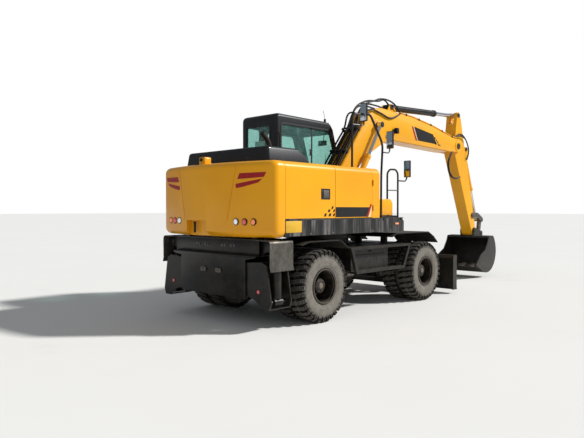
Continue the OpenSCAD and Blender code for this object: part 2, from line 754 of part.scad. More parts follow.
module cab_shell() {
    color(black) difference() {
        plate_y(cab_right, cab_left) polygon(cab_side);
        plate_y(cab_right + cab_t, cab_left - cab_t) scaled_outline(cab_side, -cab_t - 15);
        // window in the right wall, door opening in the left wall, rear and front windows
        plate_y(cab_right - 10, cab_right + cab_t + 30) polygon(win_side);
        plate_y(cab_left - cab_t - 30, cab_left + 10) scaled_outline(door_line, 0);
        plate_y(cab_left - cab_t - 30, cab_left + 10) polygon([
            [cab_rear + 110, 2230], [cab_rear + 110, cab_top - 130], [door_x0 - 90, cab_top - 130], [door_x0 - 90, 2230]]);
        slab(cab_rear - 10, cab_rear + cab_t + 60, cab_right + 110, cab_left - 110, 2330, cab_top - 150);
        slab(830, 1400, cab_right + 80, cab_left - 80, 1750, cab_top - 190);
        slab(50, 650, cab_right + 180, cab_left - 180, cab_top - 100, cab_top + 10);
    }
}

module cab_glass() {
    t = 6;
    color([0.3, 0.4, 0.42, 0.5]) {
        plate_y(cab_right + 12, cab_right + 12 + t) scaled_outline(win_side, -0.5);
        plate_y(cab_left - 20, cab_left - 20 + t) polygon([
            [cab_rear + 110.5, 2230.5], [cab_rear + 110.5, cab_top - 130.5], [door_x0 - 90.5, cab_top - 130.5],
            [door_x0 - 90.5, 2230.5]]);
        slab(cab_rear + 12, cab_rear + 12 + t, cab_right + 110.5, cab_left - 110.5, 2330.5, cab_top - 150.5);
        plate_y(cab_right + 80.5, cab_left - 80.5) polygon([
            [921, cab_top - 190.5], [921 - t, cab_top - 190.5], [1200 - t, 2150], [1178 - t, 1750.5], [1178, 1750.5], [1200, 2150]]);
        slab(50.5, 649.5, cab_right + 180.5, cab_left - 180.5, cab_top - 30, cab_top - 30 + t);
    }
}

module cab_seat() {
    mid = (cab_right + cab_left) / 2;
    floor_z = cab_low + cab_t + 15;
    color([0.2, 0.2, 0.21]) union() {
        slab(-200, 200, mid - 200, mid + 200, floor_z, 1750);
        slab(-260, 250, mid - 240, mid + 240, 1740, 1870);
        hull() {
            slab(-330, -200, mid - 240, mid + 240, 1800, 1870);
            slab(-420, -320, mid - 180, mid + 180, 2500, 2560);
        }
        slab(-250, 330, mid - 330, mid - 250, 1700, 2010);
        slab(-250, 330, mid + 250, mid + 330, 1700, 2010);
        slab(-210, 210, mid - 330, mid + 330, 1700, 1760);
        slab(850, 950, mid - 120, mid + 120, floor_z, 2050);
        slab(780, 960, mid - 190, mid + 190, 2040, 2080);
    }
}

module cab_door() {
    color(black) difference() {
        union() {
            plate_y(cab_left - cab_t, cab_left + 5) scaled_outline(door_line, -8);
            plate_y(cab_left + slip, cab_left + 25) scaled_outline(door_line, 14);
        }
        plate_y(cab_left - cab_t - 5, cab_left + 30) polygon(door_glass_line);
    }
}

module cab_door_glass() {
    color([0.3, 0.4, 0.42, 0.5])
        plate_y(cab_left - 6, cab_left) scaled_outline(door_glass_line, -0.5);
}

module deck_fittings() {
    color(black) union() {
        slab(body_front, 760, -house_half + 95, -480, house_low + 30, 1540);
    }
    color(paint) slab(body_front + 60, 560, -900, -500, 1540, 1960);
    color(black) union() {
        tube_path([[-990, -120, body_top], [-990, -120, 2560], [-850, -120, 2700]], 52);
    }
}

module rails_mirrors() {
    y = -1110;
    deck = 1540;
    color(black) {
        union() {
            tube_path([[340, y, deck], [340, y, 2200], [375, y, 2730], [-60, y, 3300]], 19);
            rod_z(-60, y, 17, 3290, 3420);
            slab(-130, -40, y - 60, y + 120, 3400, 3600);
        }
        union() {
            tube_path([[560, y, deck], [560, y, 2250], [610, y, 2320], [850, y, 2320], [900, y, 2250],
                [900, y, 2000], [740, y, 1620], [740, y, deck]], 17);
            tube_path([[900, y, 2260], [930, y - 90, 2300], [930, y - 90, 2410]], 14);
            slab(905, 955, y - 180, y - 20, 2400, 2620);
        }
        tube_path([[-420, -1000, body_top], [-420, -1000, 3140], [-380, -1000, 3190], [-270, -1000, 3190],
            [-230, -1000, 3140], [-230, -1000, body_top]], 17);
    }
}

// Boom

boom_outline = concat(
    arc(foot, 130, 125, 290, 10),
    [[1000, 2440], [1250, 2660]],
    arc([2105, 2270], 740, 122, 90, 5),
    [[4400, 2965]],
    arc(arm_pin, 150, -90, 20, 6),
    [[4740, 3290], [4560, 3310], [3700, 3460], [2870, 3560]],
    arc([2060, 2890], 710, 74, 132, 6));
module boom() {
    color(paint) difference() {
        union() {
            plate_y(-boom_half, boom_half) polygon(boom_outline);
            both() rod_y(lift_pin, 75, boom_half - 5, boom_half + 15);
            for (y = [-100, 82]) plate_y(y, y + 18) polygon([
                [2000, 3550], arm_tail + [-70, 40], arm_tail + [0, 70], arm_tail + [60, 40], [2420, 3560]]);
        }
        rod_y(foot, 40 + fit, -400, 400);
        slab(4560, 5200, -arm_half - 8, arm_half + 8, 2700, 3600);
    }
    color(steel) union() {
        rod_y(arm_pin, 45, -boom_half - 14, boom_half + 14);
    }
    color(steel) rod_y(arm_tail, 34, -112, 112);
}

lift_len = dist(lift_base, lift_pin);
lift_dir = heading(lift_base, lift_pin);
module boom_barrels() {
    color(paint) both() along(lift_base, lift_dir, lift_y) barrel(1180, 56, 36, 60, 78, 35, 300, 6);
}

module boom_rods() {
    color(steel) both() along(lift_base, lift_dir, lift_y) {
        piston_rod(700, lift_len, 36, 58, 84);
        rod_y([lift_len, 0], 34, boom_half + 18 - lift_y, 0);
    }
}

reach_len = dist(arm_tail, arm_head);
reach_dir = heading(arm_tail, arm_head);
module arm_barrel() {
    color(black) along(arm_tail, reach_dir) barrel(1870, 66, 42, 62, 154, 34, 520);
}

module arm_rod() {
    color(steel) along(arm_tail, reach_dir) piston_rod(1090, reach_len, 42, 60, 88);
}

// Arm, in its own lengths: u along it from the pivot, n forward of its axis
arm_outline = concat(
    [for (a = [180:20:260]) arm_at(125 * cos(a), 125 * sin(a))],
    [for (a = [260:20:360]) arm_at(arm_len + 105 * cos(a), 105 * sin(a))],
    [for (a = [0:20:90]) arm_at(arm_len + 105 * cos(a), 105 * sin(a))],
    [arm_at(1700, 190), arm_at(500, 365), arm_at(200, 390), arm_at(-500, 500)],
    [for (a = [100:25:200]) arm_at(-619 + 75 * cos(a), 422 + 75 * sin(a))]);
module arm() {
    color(paint) difference() {
        union() {
            plate_y(-arm_half, arm_half) polygon(arm_outline);
            for (y = [-88, 70]) plate_y(y, y + 18) polygon([
                arm_at(180, 380), arm_at(270, 590), arm_at(340, 640), arm_at(410, 590), arm_at(560, 350)]);
        }
        rod_y(arm_pin, 45 + fit, -400, 400);
        rod_y(bucket_pin, 35 + fit, -400, 400);
        rod_y(rocker_pin, 30 + fit, -400, 400);
        // slot in the head for the eye of the arm cylinder's rod
        plate_y(-52, 52) polygon([arm_at(-760, 250), arm_at(-760, 560), arm_at(-470, 560), arm_at(-470, 250)]);
    }
    color(steel) rod_y(crowd_base, 32, -98, 98);
}

crowd_len = dist(crowd_base, rocker_end);
crowd_dir = heading(crowd_base, rocker_end);
module bucket_barrel() {
    color(paint) along(crowd_base, crowd_dir) barrel(1080, 55, 35, 56, 130, 32, 260);
}

module bucket_rod() {
    color(steel) along(crowd_base, crowd_dir) piston_rod(620, crowd_len, 35, 50, 84);
}

module rocker() {
    mid = (rocker_pin + rocker_end) / 2 + [0, 60];
    color(steel) union() {
        both() {
            plate_y(arm_half + 8, arm_half + 33) polygon(concat(
                arc(rocker_pin, 62, 100, 270, 10), [mid + [0, -50]], arc(rocker_end, 58, -100, 70, 10), [mid + [0, 60]]));
            rod_y(rocker_end, 30, 50, arm_half + 40);
        }
        rod_y(rocker_pin, 30, -arm_half - 40, arm_half + 40);
    }
}

link_len = dist(rocker_end, link_pin);
module bucket_link() {
    color(black) along(rocker_end, heading(rocker_end, link_pin)) difference() {
        union() {
            both() plate_y(62, 125) polygon(concat(
                arc([0, 0], 58, 90, 270, 8), arc([link_len, 0], 56, -90, 90, 8)));
            rod_y([link_len, 0], 56, -arm_half + 5, arm_half - 5);
        }
        rod_y([0, 0], 30 + fit, -400, 400);
    }
}

bucket_c = bucket_pin + [-143, -485];
lip = bucket_pin + [-730, -775];
floor_from = arc(bucket_c, bucket_r, -108, -108, 1)[0];
mouth = [bucket_pin + [-480, -560], bucket_pin + [-240, -450], bucket_pin + [-100, -270], bucket_pin + [-30, -125]];
module bucket() {
    inner_r = bucket_r - bucket_t;
    top_front = arc(bucket_c, bucket_r, 47, 47, 1)[0];
    color(black) difference() {
        union() {
            plate_y(-bucket_half, bucket_half) polygon(concat(
                arc(bucket_c, bucket_r, 47, -108, 16), [lip], mouth));
            both() plate_y(arm_half + 6, arm_half + 46) polygon(concat(
                arc(bucket_pin, 78, 60, 190, 8), [bucket_pin + [-60, -190], bucket_pin + [230, -420]],
                arc(bucket_c, bucket_r - 8, 0, 20, 3), arc(link_pin, 72, -20, 110, 6)));
        }
        plate_y(-bucket_half + bucket_t, bucket_half - bucket_t) polygon(concat(
            arc(bucket_c, inner_r, 40, -108, 16), [lip + [-10, 30]], [lip + [-300, 300], bucket_pin + [-300, -200]],
            [bucket_pin + [-40, -160]]));
    }
    color(steel) rod_y(bucket_pin, 35, -arm_half - 56, arm_half + 56);
    color(steel) both() rod_y(link_pin, 35, arm_half + 20, arm_half + 56);
    color(black) for (i = [0:tooth_n - 1]) {
        y = -bucket_half + 70 + i * (2 * bucket_half - 140) / (tooth_n - 1);
        plate_y(y - 38, y + 38) polygon([
            lip + [100, 8], lip + [30, 40], lip + [-10, 38], lip + [-190, -8], lip + [-190, -22], lip + [-20, -35],
            lip + [95, -62]]);
    }
}

chassis_frame();
drive_shafts();
rear_axle();
front_axle();
fenders_steps();
outrigger_carrier();
knuckle();  // knuckle_left
mirror([0, 1, 0]) knuckle();  // knuckle_right
tie_rod();
steer_rod();
tyres(front_x);  // tyres_front_left
mirror([0, 1, 0]) tyres(front_x);  // tyres_front_right
tyres(rear_x);  // tyres_rear_left
mirror([0, 1, 0]) tyres(rear_x);  // tyres_rear_right
rims(front_x);  // rims_front_left
mirror([0, 1, 0]) rims(front_x);  // rims_front_right
rims(rear_x);  // rims_rear_left
mirror([0, 1, 0]) rims(rear_x);  // rims_rear_right
outrigger_arm();  // outrigger_arm_left
mirror([0, 1, 0]) outrigger_arm();  // outrigger_arm_right
outrigger_barrel();  // outrigger_barrel_left
mirror([0, 1, 0]) outrigger_barrel();  // outrigger_barrel_right
outrigger_rod();  // outrigger_rod_left
mirror([0, 1, 0]) outrigger_rod();  // outrigger_rod_right
blade_lower_arms();
blade_upper_links();
blade();
blade_barrels();
blade_rods();
house_frame();
counterweight();
engine();
body_panels();
cab_shell();
cab_glass();
cab_seat();
deck_fittings();
rails_mirrors();
hood_lid();
body_door(door_spans[0]);  // door_right_rear
body_door(door_spans[1]);  // door_right_front
body_door(door_spans[2]);  // door_left
cab_door();
cab_door_glass();
boom();
boom_barrels();
boom_rods();
arm();
arm_barrel();
arm_rod();
bucket_barrel();
bucket_rod();
rocker();
bucket_link();
bucket();
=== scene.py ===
"""Looks of the wheeled excavator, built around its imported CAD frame. Metres, +X forward, +Y left, +Z up."""
import math

import bmesh
import bpy
from mathutils import Matrix, Vector


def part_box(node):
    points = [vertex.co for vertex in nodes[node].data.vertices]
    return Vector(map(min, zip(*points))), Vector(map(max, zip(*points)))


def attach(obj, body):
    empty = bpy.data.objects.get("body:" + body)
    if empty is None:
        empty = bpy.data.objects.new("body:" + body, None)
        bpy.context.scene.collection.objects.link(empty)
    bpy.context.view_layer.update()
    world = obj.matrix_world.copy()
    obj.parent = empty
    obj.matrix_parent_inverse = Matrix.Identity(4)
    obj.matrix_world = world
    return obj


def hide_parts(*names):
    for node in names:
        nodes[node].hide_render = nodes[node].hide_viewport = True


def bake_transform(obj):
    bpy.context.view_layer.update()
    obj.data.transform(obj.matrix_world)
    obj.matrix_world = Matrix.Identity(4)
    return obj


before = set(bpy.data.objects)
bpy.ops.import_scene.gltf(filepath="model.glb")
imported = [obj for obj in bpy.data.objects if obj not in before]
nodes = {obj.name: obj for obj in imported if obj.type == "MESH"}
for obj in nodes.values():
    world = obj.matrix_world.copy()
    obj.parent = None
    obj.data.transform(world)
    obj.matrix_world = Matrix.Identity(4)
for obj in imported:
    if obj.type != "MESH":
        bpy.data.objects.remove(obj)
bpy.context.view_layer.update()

# Camera

IMAGE_WIDTH = 584
FOCAL_PIXELS = 574.8
SENSOR = 36.0
EYE = (-7.672, -6.544, 1.646)
EYE_HEADING, EYE_DIP = 42.95, 0.985
FAR_CLIP = 500

look = (math.radians(90 - EYE_DIP), 0, math.radians(EYE_HEADING - 90))
bpy.ops.object.camera_add(location=EYE, rotation=look)
camera = bpy.context.object
camera.data.sensor_width = SENSOR
camera.data.lens = FOCAL_PIXELS / IMAGE_WIDTH * SENSOR
camera.data.clip_end = FAR_CLIP
bpy.context.scene.camera = camera


# Shader tools

def tone(code):
    """A colour as screens show it, such as e8a01a, in the linear numbers that shaders take."""
    parts = [int(code[i:i + 2], 16) / 255 for i in (0, 2, 4)]
    return tuple(p / 12.92 if p <= 0.04045 else ((p + 0.055) / 1.055) ** 2.4 for p in parts) + (1.0,)


class Signal:
    """A shader socket that Python's operators work on."""

    def __init__(self, tree, socket):
        self.tree, self.socket = tree, socket

    def math(self, operation, *values, clamp=False):
        node = self.tree.nodes.new("ShaderNodeMath")
        node.operation, node.use_clamp = operation, clamp
        for place, value in zip(node.inputs, values):
            feed(self.tree, place, value)
        return Signal(self.tree, node.outputs[0])

    def __add__(self, other):
        return self.math("ADD", self, other)

    def __sub__(self, other):
        return self.math("SUBTRACT", self, other)

    def __rsub__(self, other):
        return self.math("SUBTRACT", other, self)

    def __mul__(self, other):
        return self.math("MULTIPLY", self, other)

    def __pow__(self, other):
        return self.math("POWER", self, other)

    __radd__, __rmul__ = __add__, __mul__

    def clamped(self):
        return self.math("ADD", self, 0.0, clamp=True)

    def between(self, low, high):
        """0 below low, 1 above high, and smooth between them."""
        node = self.tree.nodes.new("ShaderNodeMapRange")
        node.interpolation_type = "SMOOTHSTEP"
        for place, value in zip(node.inputs, (self, low, high, 0.0, 1.0)):
            feed(self.tree, place, value)
        return Signal(self.tree, node.outputs[0])


def feed(tree, place, value):
    if isinstance(value, Signal):
        tree.links.new(value.socket, place)
    else:
        place.default_value = value


class Finish:
    """A material under construction."""

    def __init__(self, name):
        self.material = bpy.data.materials.new(name)
        self.material.use_nodes = True
        self.tree = self.material.node_tree
        self.tree.nodes.clear()
        self.place = self.node("TexCoord", out="Object")

    def node(self, kind, inputs=None, out=0, **settings):
        """Adds a node: its type, its sockets' values or links, the output that is wanted, its settings."""
        node = self.tree.nodes.new("ShaderNode" + kind)
        for key, value in settings.items():
            setattr(node, key, value)
        for key, value in (inputs or {}).items():
            feed(self.tree, node.inputs[key], value)
        return Signal(self.tree, node.outputs[out]) if node.outputs else node

    def noise(self, scale, detail=3.0, rough=0.55, stretch=None):
        place = self.node("Mapping", {"Vector": self.place, "Scale": stretch}) if stretch else self.place
        return self.node("TexNoise", {"Vector": place, "Scale": scale, "Detail": detail, "Roughness": rough})

    def waves(self, direction, scale, place=None):
        inputs = {"Vector": place or self.place, "Scale": scale}
        return self.node("TexWave", inputs, bands_direction=direction)

    def axis(self, letter):
        return self.node("SeparateXYZ", {"Vector": self.place}, letter)

    def mix(self, first, second, share):
        """A colour between two, by a share from 0 to 1."""
        first, second = (tone(part) if isinstance(part, str) else part for part in (first, second))
        return self.node("Mix", {0: share, 6: first, 7: second}, 2, data_type="RGBA")

    def edges(self, radius):
        """About 0 on a flat face and up to 1 close to a sharp edge."""
        bevelled = self.node("Bevel", {"Radius": radius}, samples=4)
        plain = self.node("NewGeometry", out="Normal")
        facing = self.node("VectorMath", {0: bevelled, 1: plain}, "Value", operation="DOT_PRODUCT")
        return ((1.0 - facing) * 6.0).clamped()

    def bump(self, height, strength, distance):
        return self.node("Bump", {"Height": height, "Strength": strength, "Distance": distance})

    def surface(self, colour, roughness, **more):
        """Ends the material in a Principled shader; more gives its other sockets, with _ for a space."""
        inputs = {key.replace("_", " "): value for key, value in more.items()}
        shader = self.node("BsdfPrincipled", {"Base Color": colour, "Roughness": roughness, **inputs})
        self.node("OutputMaterial", {"Surface": shader})
        return self.material


# Finishes

AXLES_MID, AXLES_APART = 0.15, 2.85
HUB_HEIGHT = sum(corner[2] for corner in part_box("rims_rear_left")) / 2
TYRE_BEAD, TYRE_SHOULDER, CROWN_LOW, CROWN_HIGH = 0.40, 0.47, 0.505, 0.528

DUST = "9c8d74"


def house_paint(name, colour, shade):
    """Glossy machine paint, a little uneven, with a little dust."""
    f = Finish(name)
    broad = f.noise(0.9, 2.0)
    fine = f.noise(35.0, 4.0)
    body = f.mix(colour, shade, broad.between(0.35, 0.75) * 0.55)
    dust = (f.noise(5.0, 6.0, 0.7).between(0.52, 0.8) * 0.10 + fine.between(0.6, 0.8) * 0.04).clamped()
    body = f.mix(body, DUST, dust)
    worn = f.edges(0.004) * f.noise(28.0, 3.0).between(0.45, 0.6)
    body = f.mix(body, "6d5a3a", worn * 0.35)
    peel = f.bump(f.noise(160.0, 1.0), 0.05, 0.0006)
    return f.surface(body, 0.34 + dust * 1.0 + broad * 0.06, Normal=peel, Specular_IOR_Level=0.30,
                     Coat_Weight=0.22, Coat_Roughness=0.10)


def frame_paint(name, colour, dusty, bare, gloss, low=0.0, high=1.3):
    """Chassis paint: dull, dusty low down, rubbed bright along its edges."""
    f = Finish(name)
    height = f.axis("Z")
    broad = f.noise(2.2, 4.0, 0.6)
    grime = f.noise(11.0, 7.0, 0.72)
    lowness = 1.0 - height.between(low, high)
    dust = ((broad * 0.6 + grime * 0.6 - 0.52) * (0.25 + lowness * dusty)).clamped()
    body = f.mix(colour, DUST, dust)
    rubbed = (f.edges(0.006) * f.noise(17.0, 4.0).between(0.38, 0.62)).clamped()
    body = f.mix(body, "8f8a82", rubbed * bare)
    scratch = f.noise(60.0, 3.0, 0.6, (1.0, 1.0, 7.0)).between(0.66, 0.72) * bare * 0.5
    body = f.mix(body, "a39d93", scratch * 0.5)
    return f.surface(body, gloss + dust * 0.6 - rubbed * 0.1, Normal=f.bump(grime, 0.12, 0.002),
                     Metallic=rubbed * bare * 0.4, Specular_IOR_Level=0.28)


def streaked_skirt():
    """Glossy black side skirt with washed vertical streaks."""
    f = Finish("streaked_black")
    streak = f.noise(9.0, 5.0, 0.7, (1.0, 1.0, 0.06))
    fine = f.noise(42.0, 3.0, 0.6, (1.0, 1.0, 0.04))
    wash = (streak.between(0.46, 0.66) * 0.75 + fine.between(0.5, 0.7) * 0.45).clamped()
    body = f.mix("0e0e10", "8f8b87", wash * 0.62)
    return f.surface(body, 0.26 + wash * 0.4, Specular_IOR_Level=0.3, Coat_Weight=0.15, Coat_Roughness=0.1)


def tread_plate():
    """Rolled anti-slip plate: short raised bars, crossed, dusty between them."""
    f = Finish("tread_plate")
    turned = f.node("Mapping", {"Vector": f.place, "Rotation": (0, 0, math.radians(45))})
    along, across = f.waves("X", 14.0, turned), f.waves("Y", 14.0, turned)
    upward = f.node("SeparateXYZ", {"Vector": f.node("NewGeometry", out="Normal")}, "Z").between(0.7, 0.9)
    bars = (along * across).between(0.45, 0.7) * upward
    dust = (f.noise(8.0, 6.0, 0.7) * 0.9 - 0.3).clamped() * (0.25 + upward * 0.4)
    body = f.mix("111110", DUST, dust)
    body = f.mix(body, "a09a8e", bars * 0.45)
    return f.surface(body, 0.42 + dust * 0.3, Normal=f.bump(bars, 0.6, 0.004), Metallic=bars * 0.3,
                     Specular_IOR_Level=0.28)


def rubber_tread():
    """Tyre: dark in the grooves, dusty grey on the sidewall and over the lugs."""
    f = Finish("tyre_rubber")
    grime = f.noise(14.0, 7.0, 0.7)
    broad = f.noise(3.0, 3.0)
    dust = ((grime * 0.7 + broad * 0.5 - 0.44) * 1.6).clamped()
    from_mid = f.axis("X") - AXLES_MID
    from_axle = from_mid.math("ABSOLUTE", from_mid) - AXLES_APART / 2
    above = f.axis("Z") - HUB_HEIGHT
    radius = (from_axle * from_axle + above * above) ** 0.5
    sidewall = 1.0 - radius.between(TYRE_BEAD, TYRE_SHOULDER)
    crown = radius.between(CROWN_LOW, CROWN_HIGH)
    body = f.mix("0f0e0d", "6f685f", dust * 0.35)
    body = f.mix(body, "918b81", sidewall * (0.20 + grime * 0.75))
    body = f.mix(body, "77716a", crown * (grime * 0.7))
    scuffed = f.edges(0.010) * f.noise(22.0, 4.0).between(0.35, 0.6)
    body = f.mix(body, "a9a49b", scuffed * 0.5)
    return f.surface(body, 0.82 + grime * 0.12, Normal=f.bump(grime, 0.3, 0.003), Specular_IOR_Level=0.15)


def rim_paint():
    """Wheel centre: dark brown-black paint with brake dust."""
    f = Finish("rim_paint")
    grime = f.noise(9.0, 6.0, 0.7)
    dust = ((grime - 0.35) * 1.6).clamped()
    body = f.mix("14110f", "6b5d4e", dust * 0.6)
    rubbed = f.edges(0.005) * f.noise(24.0, 3.0).between(0.4, 0.6)
    body = f.mix(body, "9a9186", rubbed * 0.5)
    return f.surface(body, 0.5 + dust * 0.3, Normal=f.bump(grime, 0.15, 0.002), Metallic=rubbed * 0.3,
                     Specular_IOR_Level=0.25)


def bright_rod():
    f = Finish("chromed_rod")
    haze = f.noise(30.0, 3.0, 0.6)
    body = f.mix("d9dadc", "a9abad", haze.between(0.4, 0.7) * 0.4)
    return f.surface(body, 0.12 + haze * 0.1, Metallic=1.0)


def worn_steel(name, colour, rust):
    f = Finish(name)
    grime = f.noise(12.0, 6.0, 0.7)
    fine = f.noise(70.0, 3.0, 0.6, (1.0, 1.0, 4.0))
    body = f.mix(colour, "3a3633", grime.between(0.35, 0.65) * 0.7)
    body = f.mix(body, "6b4630", f.noise(7.0, 5.0, 0.7).between(0.55, 0.75) * rust)
    body = f.mix(body, "c9c6c0", f.edges(0.006) * 0.6)
    return f.surface(body, 0.38 + grime * 0.25, Metallic=0.75, Normal=f.bump(fine, 0.12, 0.001))


def window_glass():
    """Tinted cab glass: clear enough to show the seat, bright where it mirrors the sky."""
    f = Finish("tinted_glass")
    smear = f.noise(6.0, 4.0, 0.7)
    clear = f.node("BsdfTransparent", {"Color": tone("e2f5f1")})
    gloss = f.node("BsdfGlossy", {"Color": (0.9, 0.97, 0.96, 1), "Roughness": 0.03 + smear * 0.05})
    milky = f.node("BsdfDiffuse", {"Color": tone("9ad6cc")})
    skin = f.node("MixShader", {0: 0.06 + smear.between(0.45, 0.8) * 0.10, 1: clear, 2: milky})
    facing = f.node("LayerWeight", {"Blend": 0.5}, "Facing")
    both = f.node("MixShader", {0: facing * facing * facing * 0.55 + 0.05, 1: skin, 2: gloss})
    f.node("OutputMaterial", {"Surface": both})
    return f.material


# Each lens glows faintly in its own colour by its emission; the red reflectors share this finish, and there
# the glow is painted light, as a reflector is no lamp.
def lamp_lens(name, colour):
    f = Finish(name)
    ribs, fine = f.waves("Z", 60.0), f.noise(90.0, 2.0)
    body = f.mix(colour, "ffffff", ribs * 0.12 + fine * 0.05)
    return f.surface(body, 0.18 + fine * 0.05, Normal=f.bump(ribs, 0.3, 0.001), Emission_Color=body,
                     Emission_Strength=0.25, Coat_Weight=0.6)


def plain_finish(name, colour, roughness, grain, depth, spread, **more):
    """A moulded or painted surface with a fine grain and a slight variation of shade."""
    f = Finish(name)
    fine, broad = f.noise(grain, 3.0), f.noise(grain / 14, 4.0, 0.65)
    darker = tuple(c * (1 - spread) for c in tone(colour)[:3]) + (1.0,)
    body = f.mix(colour, darker, broad.between(0.3, 0.7))
    body = f.mix(body, DUST, f.noise(grain / 6, 5.0, 0.7).between(0.56, 0.8) * 0.12)
    return f.surface(body, roughness + fine * 0.1, Normal=f.bump(fine, depth, 0.0008), **more)


def seat_cloth():
    f = Finish("seat_cloth")
    weave, cross = f.waves("X", 160.0), f.waves("Z", 160.0)
    body = f.mix("232427", "3c3d42", weave * cross)
    return f.surface(body, 0.9, Normal=f.bump(weave + cross, 0.3, 0.001), Sheen_Weight=0.3)


SATIN = {"Specular_IOR_Level": 0.3}
YELLOW = house_paint("amber_paint", "eda400", "de9200")
BOOM_YELLOW = house_paint("boom_paint", "eda808", "db9404")
CHASSIS = frame_paint("chassis_black", "0f0f0f", 0.45, 0.50, 0.36)
RIG_BLACK = frame_paint("outrigger_black", "0f0f0f", 0.12, 0.40, 0.30)
BRIGHT_BLACK = frame_paint("edge_black", "2c2c2d", 0.3, 0.9, 0.30, 0.8, 1.8)
GUARD_STEEL = worn_steel("guard_steel", "5d5a53", 0.35)
SKIRT = streaked_skirt()
TREAD_PLATE = tread_plate()
TYRE = rubber_tread()
RIM = rim_paint()
HUB = frame_paint("hub_grey", "6d6459", 0.5, 0.6, 0.5, 0.0, 1.2)
CHROME = bright_rod()
STEEL = worn_steel("worn_steel", "6f6c68", 0.25)
BUCKET_STEEL = frame_paint("bucket_black", "232220", 0.35, 0.9, 0.40, 0.0, 0.9)
EDGE_STEEL = worn_steel("cutting_steel", "8d8a84", 0.1)
GLASS = window_glass()
HOOD = plain_finish("hood_plastic", "15161a", 0.40, 90.0, 0.15, 0.3, Coat_Weight=0.08, **SATIN)
CAB_BLACK = plain_finish("cab_paint", "17181b", 0.34, 70.0, 0.06, 0.25, Coat_Weight=0.12, **SATIN)
RUBBER = plain_finish("hose_rubber", "101012", 0.48, 120.0, 0.12, 0.3, **SATIN)
PLASTIC = plain_finish("black_plastic", "131315", 0.5, 110.0, 0.15, 0.3, **SATIN)
SEAL = plain_finish("window_seal", "111113", 0.65, 90.0, 0.1, 0.2)
SEAT = seat_cloth()
ENGINE = worn_steel("engine_iron", "4c4e50", 0.2)
RED_LENS = lamp_lens("red_lens", "c4161c")
AMBER_LENS = lamp_lens("amber_lens", "ee7a12")
WHITE_LENS = lamp_lens("white_lens", "e9edf0")
RED_FILM = plain_finish("red_film", "9e121b", 0.35, 40.0, 0.03, 0.12, **SATIN)
BLACK_FILM = plain_finish("black_film", "151517", 0.35, 40.0, 0.03, 0.15, **SATIN)
WHITE_FILM = plain_finish("white_film", "d9d6cf", 0.4, 40.0, 0.03, 0.08)
PAPER = plain_finish("paper_sheet", "cfd6d4", 0.8, 40.0, 0.05, 0.06)
MIRROR = plain_finish("mirror_silver", "b9c3ca", 0.06, 30.0, 0.0, 0.05, Metallic=1.0)
EXHAUST = worn_steel("exhaust_steel", "3c3836", 0.5)
PLATE_YELLOW = plain_finish("plate_yellow", "d9a81c", 0.45, 50.0, 0.05, 0.15)

NODE_FINISH = [
    # finish, words that its nodes' names start with; the first entry that fits counts
    (GLASS, ("cab_glass", "cab_door_glass")),
    (CHROME, ("arm_rod", "boom_rods", "bucket_rod", "blade_rods", "outrigger_rod")),
    (STEEL, ("tie_rod", "steer_rod", "bucket_link", "rocker")),
    (CHASSIS, ("chassis_frame", "drive_shafts", "rear_axle", "front_axle", "knuckle", "blade_lower",
               "blade_upper", "blade_barrels", "deck_fittings")),
    (RIG_BLACK, ("outrigger", "blade", "arm_barrel")),
    (YELLOW, ("counterweight", "body_panels", "door_")),
    (BOOM_YELLOW, ("boom", "arm", "bucket_barrel")),
    (TREAD_PLATE, ("fenders_steps",)),
    (SKIRT, ("house_frame",)),
    (CAB_BLACK, ("cab_shell", "cab_door")),
    (HOOD, ("hood_lid", "rails_mirrors")),
    (RIM, ("rims",)),
    (TYRE, ("tyres",)),
    (BUCKET_STEEL, ("bucket",)),
    (ENGINE, ("engine",)),
    (SEAT, ("cab_seat",)),
]
for name in nodes:
    finish = next(finish for finish, words in NODE_FINISH if name.startswith(words))
    for place in nodes[name].material_slots:
        place.material = finish


# Modelling tools

SIDES = (-1, 1)


def clear():
    bpy.ops.object.select_all(action="DESELECT")


def pick(*pieces):
    clear()
    for piece in pieces:
        piece.select_set(True)
    bpy.context.view_layer.objects.active = pieces[0]


def finish_modifier(piece, kind, **settings):
    """Adds a modifier and applies it."""
    pick(piece)
    modifier = piece.modifiers.new(kind.lower(), kind)
    for key, value in settings.items():
        setattr(modifier, key, value)
    bpy.ops.object.modifier_apply(modifier=modifier.name)
    return piece


def rounded(piece, width, steps=2, angle=35):
    return finish_modifier(piece, "BEVEL", width=width, segments=steps, limit_method="ANGLE",
                           angle_limit=math.radians(angle))


def block(corner, far_corner, round_by=0.004, steps=2):
    """A cube pulled to two opposite corners, its edges rounded."""
    clear()
    middle = [(a + b) / 2 for a, b in zip(corner, far_corner)]
    bpy.ops.mesh.primitive_cube_add(size=1, location=middle)
    piece = bpy.context.object
    piece.scale = [abs(b - a) for a, b in zip(corner, far_corner)]
    bpy.ops.object.transform_apply(location=True, rotation=False, scale=True)
    return rounded(piece, round_by, steps) if round_by else piece


def turned_along(way):
    return Vector(way).to_track_quat("Z", "Y").to_euler()


def placed():
    """The piece just added, with its place moved into its mesh."""
    bpy.ops.object.transform_apply(location=True, rotation=True, scale=True)
    return bpy.context.object


def barrel(start, end, radius, sides=24, round_by=0.002, end_radius=None):
    """A cylinder or cone between two points, its rims rounded."""
    clear()
    a, b = Vector(start), Vector(end)
    bpy.ops.mesh.primitive_cone_add(vertices=sides, radius1=radius, radius2=end_radius or radius,
                                    depth=(b - a).length, location=(a + b) / 2, rotation=turned_along(b - a))
    piece = placed()
    return rounded(piece, round_by) if round_by else piece


def ring(centre, axis, radius, thick, around=40, across=10):
    clear()
    bpy.ops.mesh.primitive_torus_add(location=centre, rotation=turned_along(axis), major_radius=radius,
                                     minor_radius=thick, major_segments=around, minor_segments=across)
    return placed()


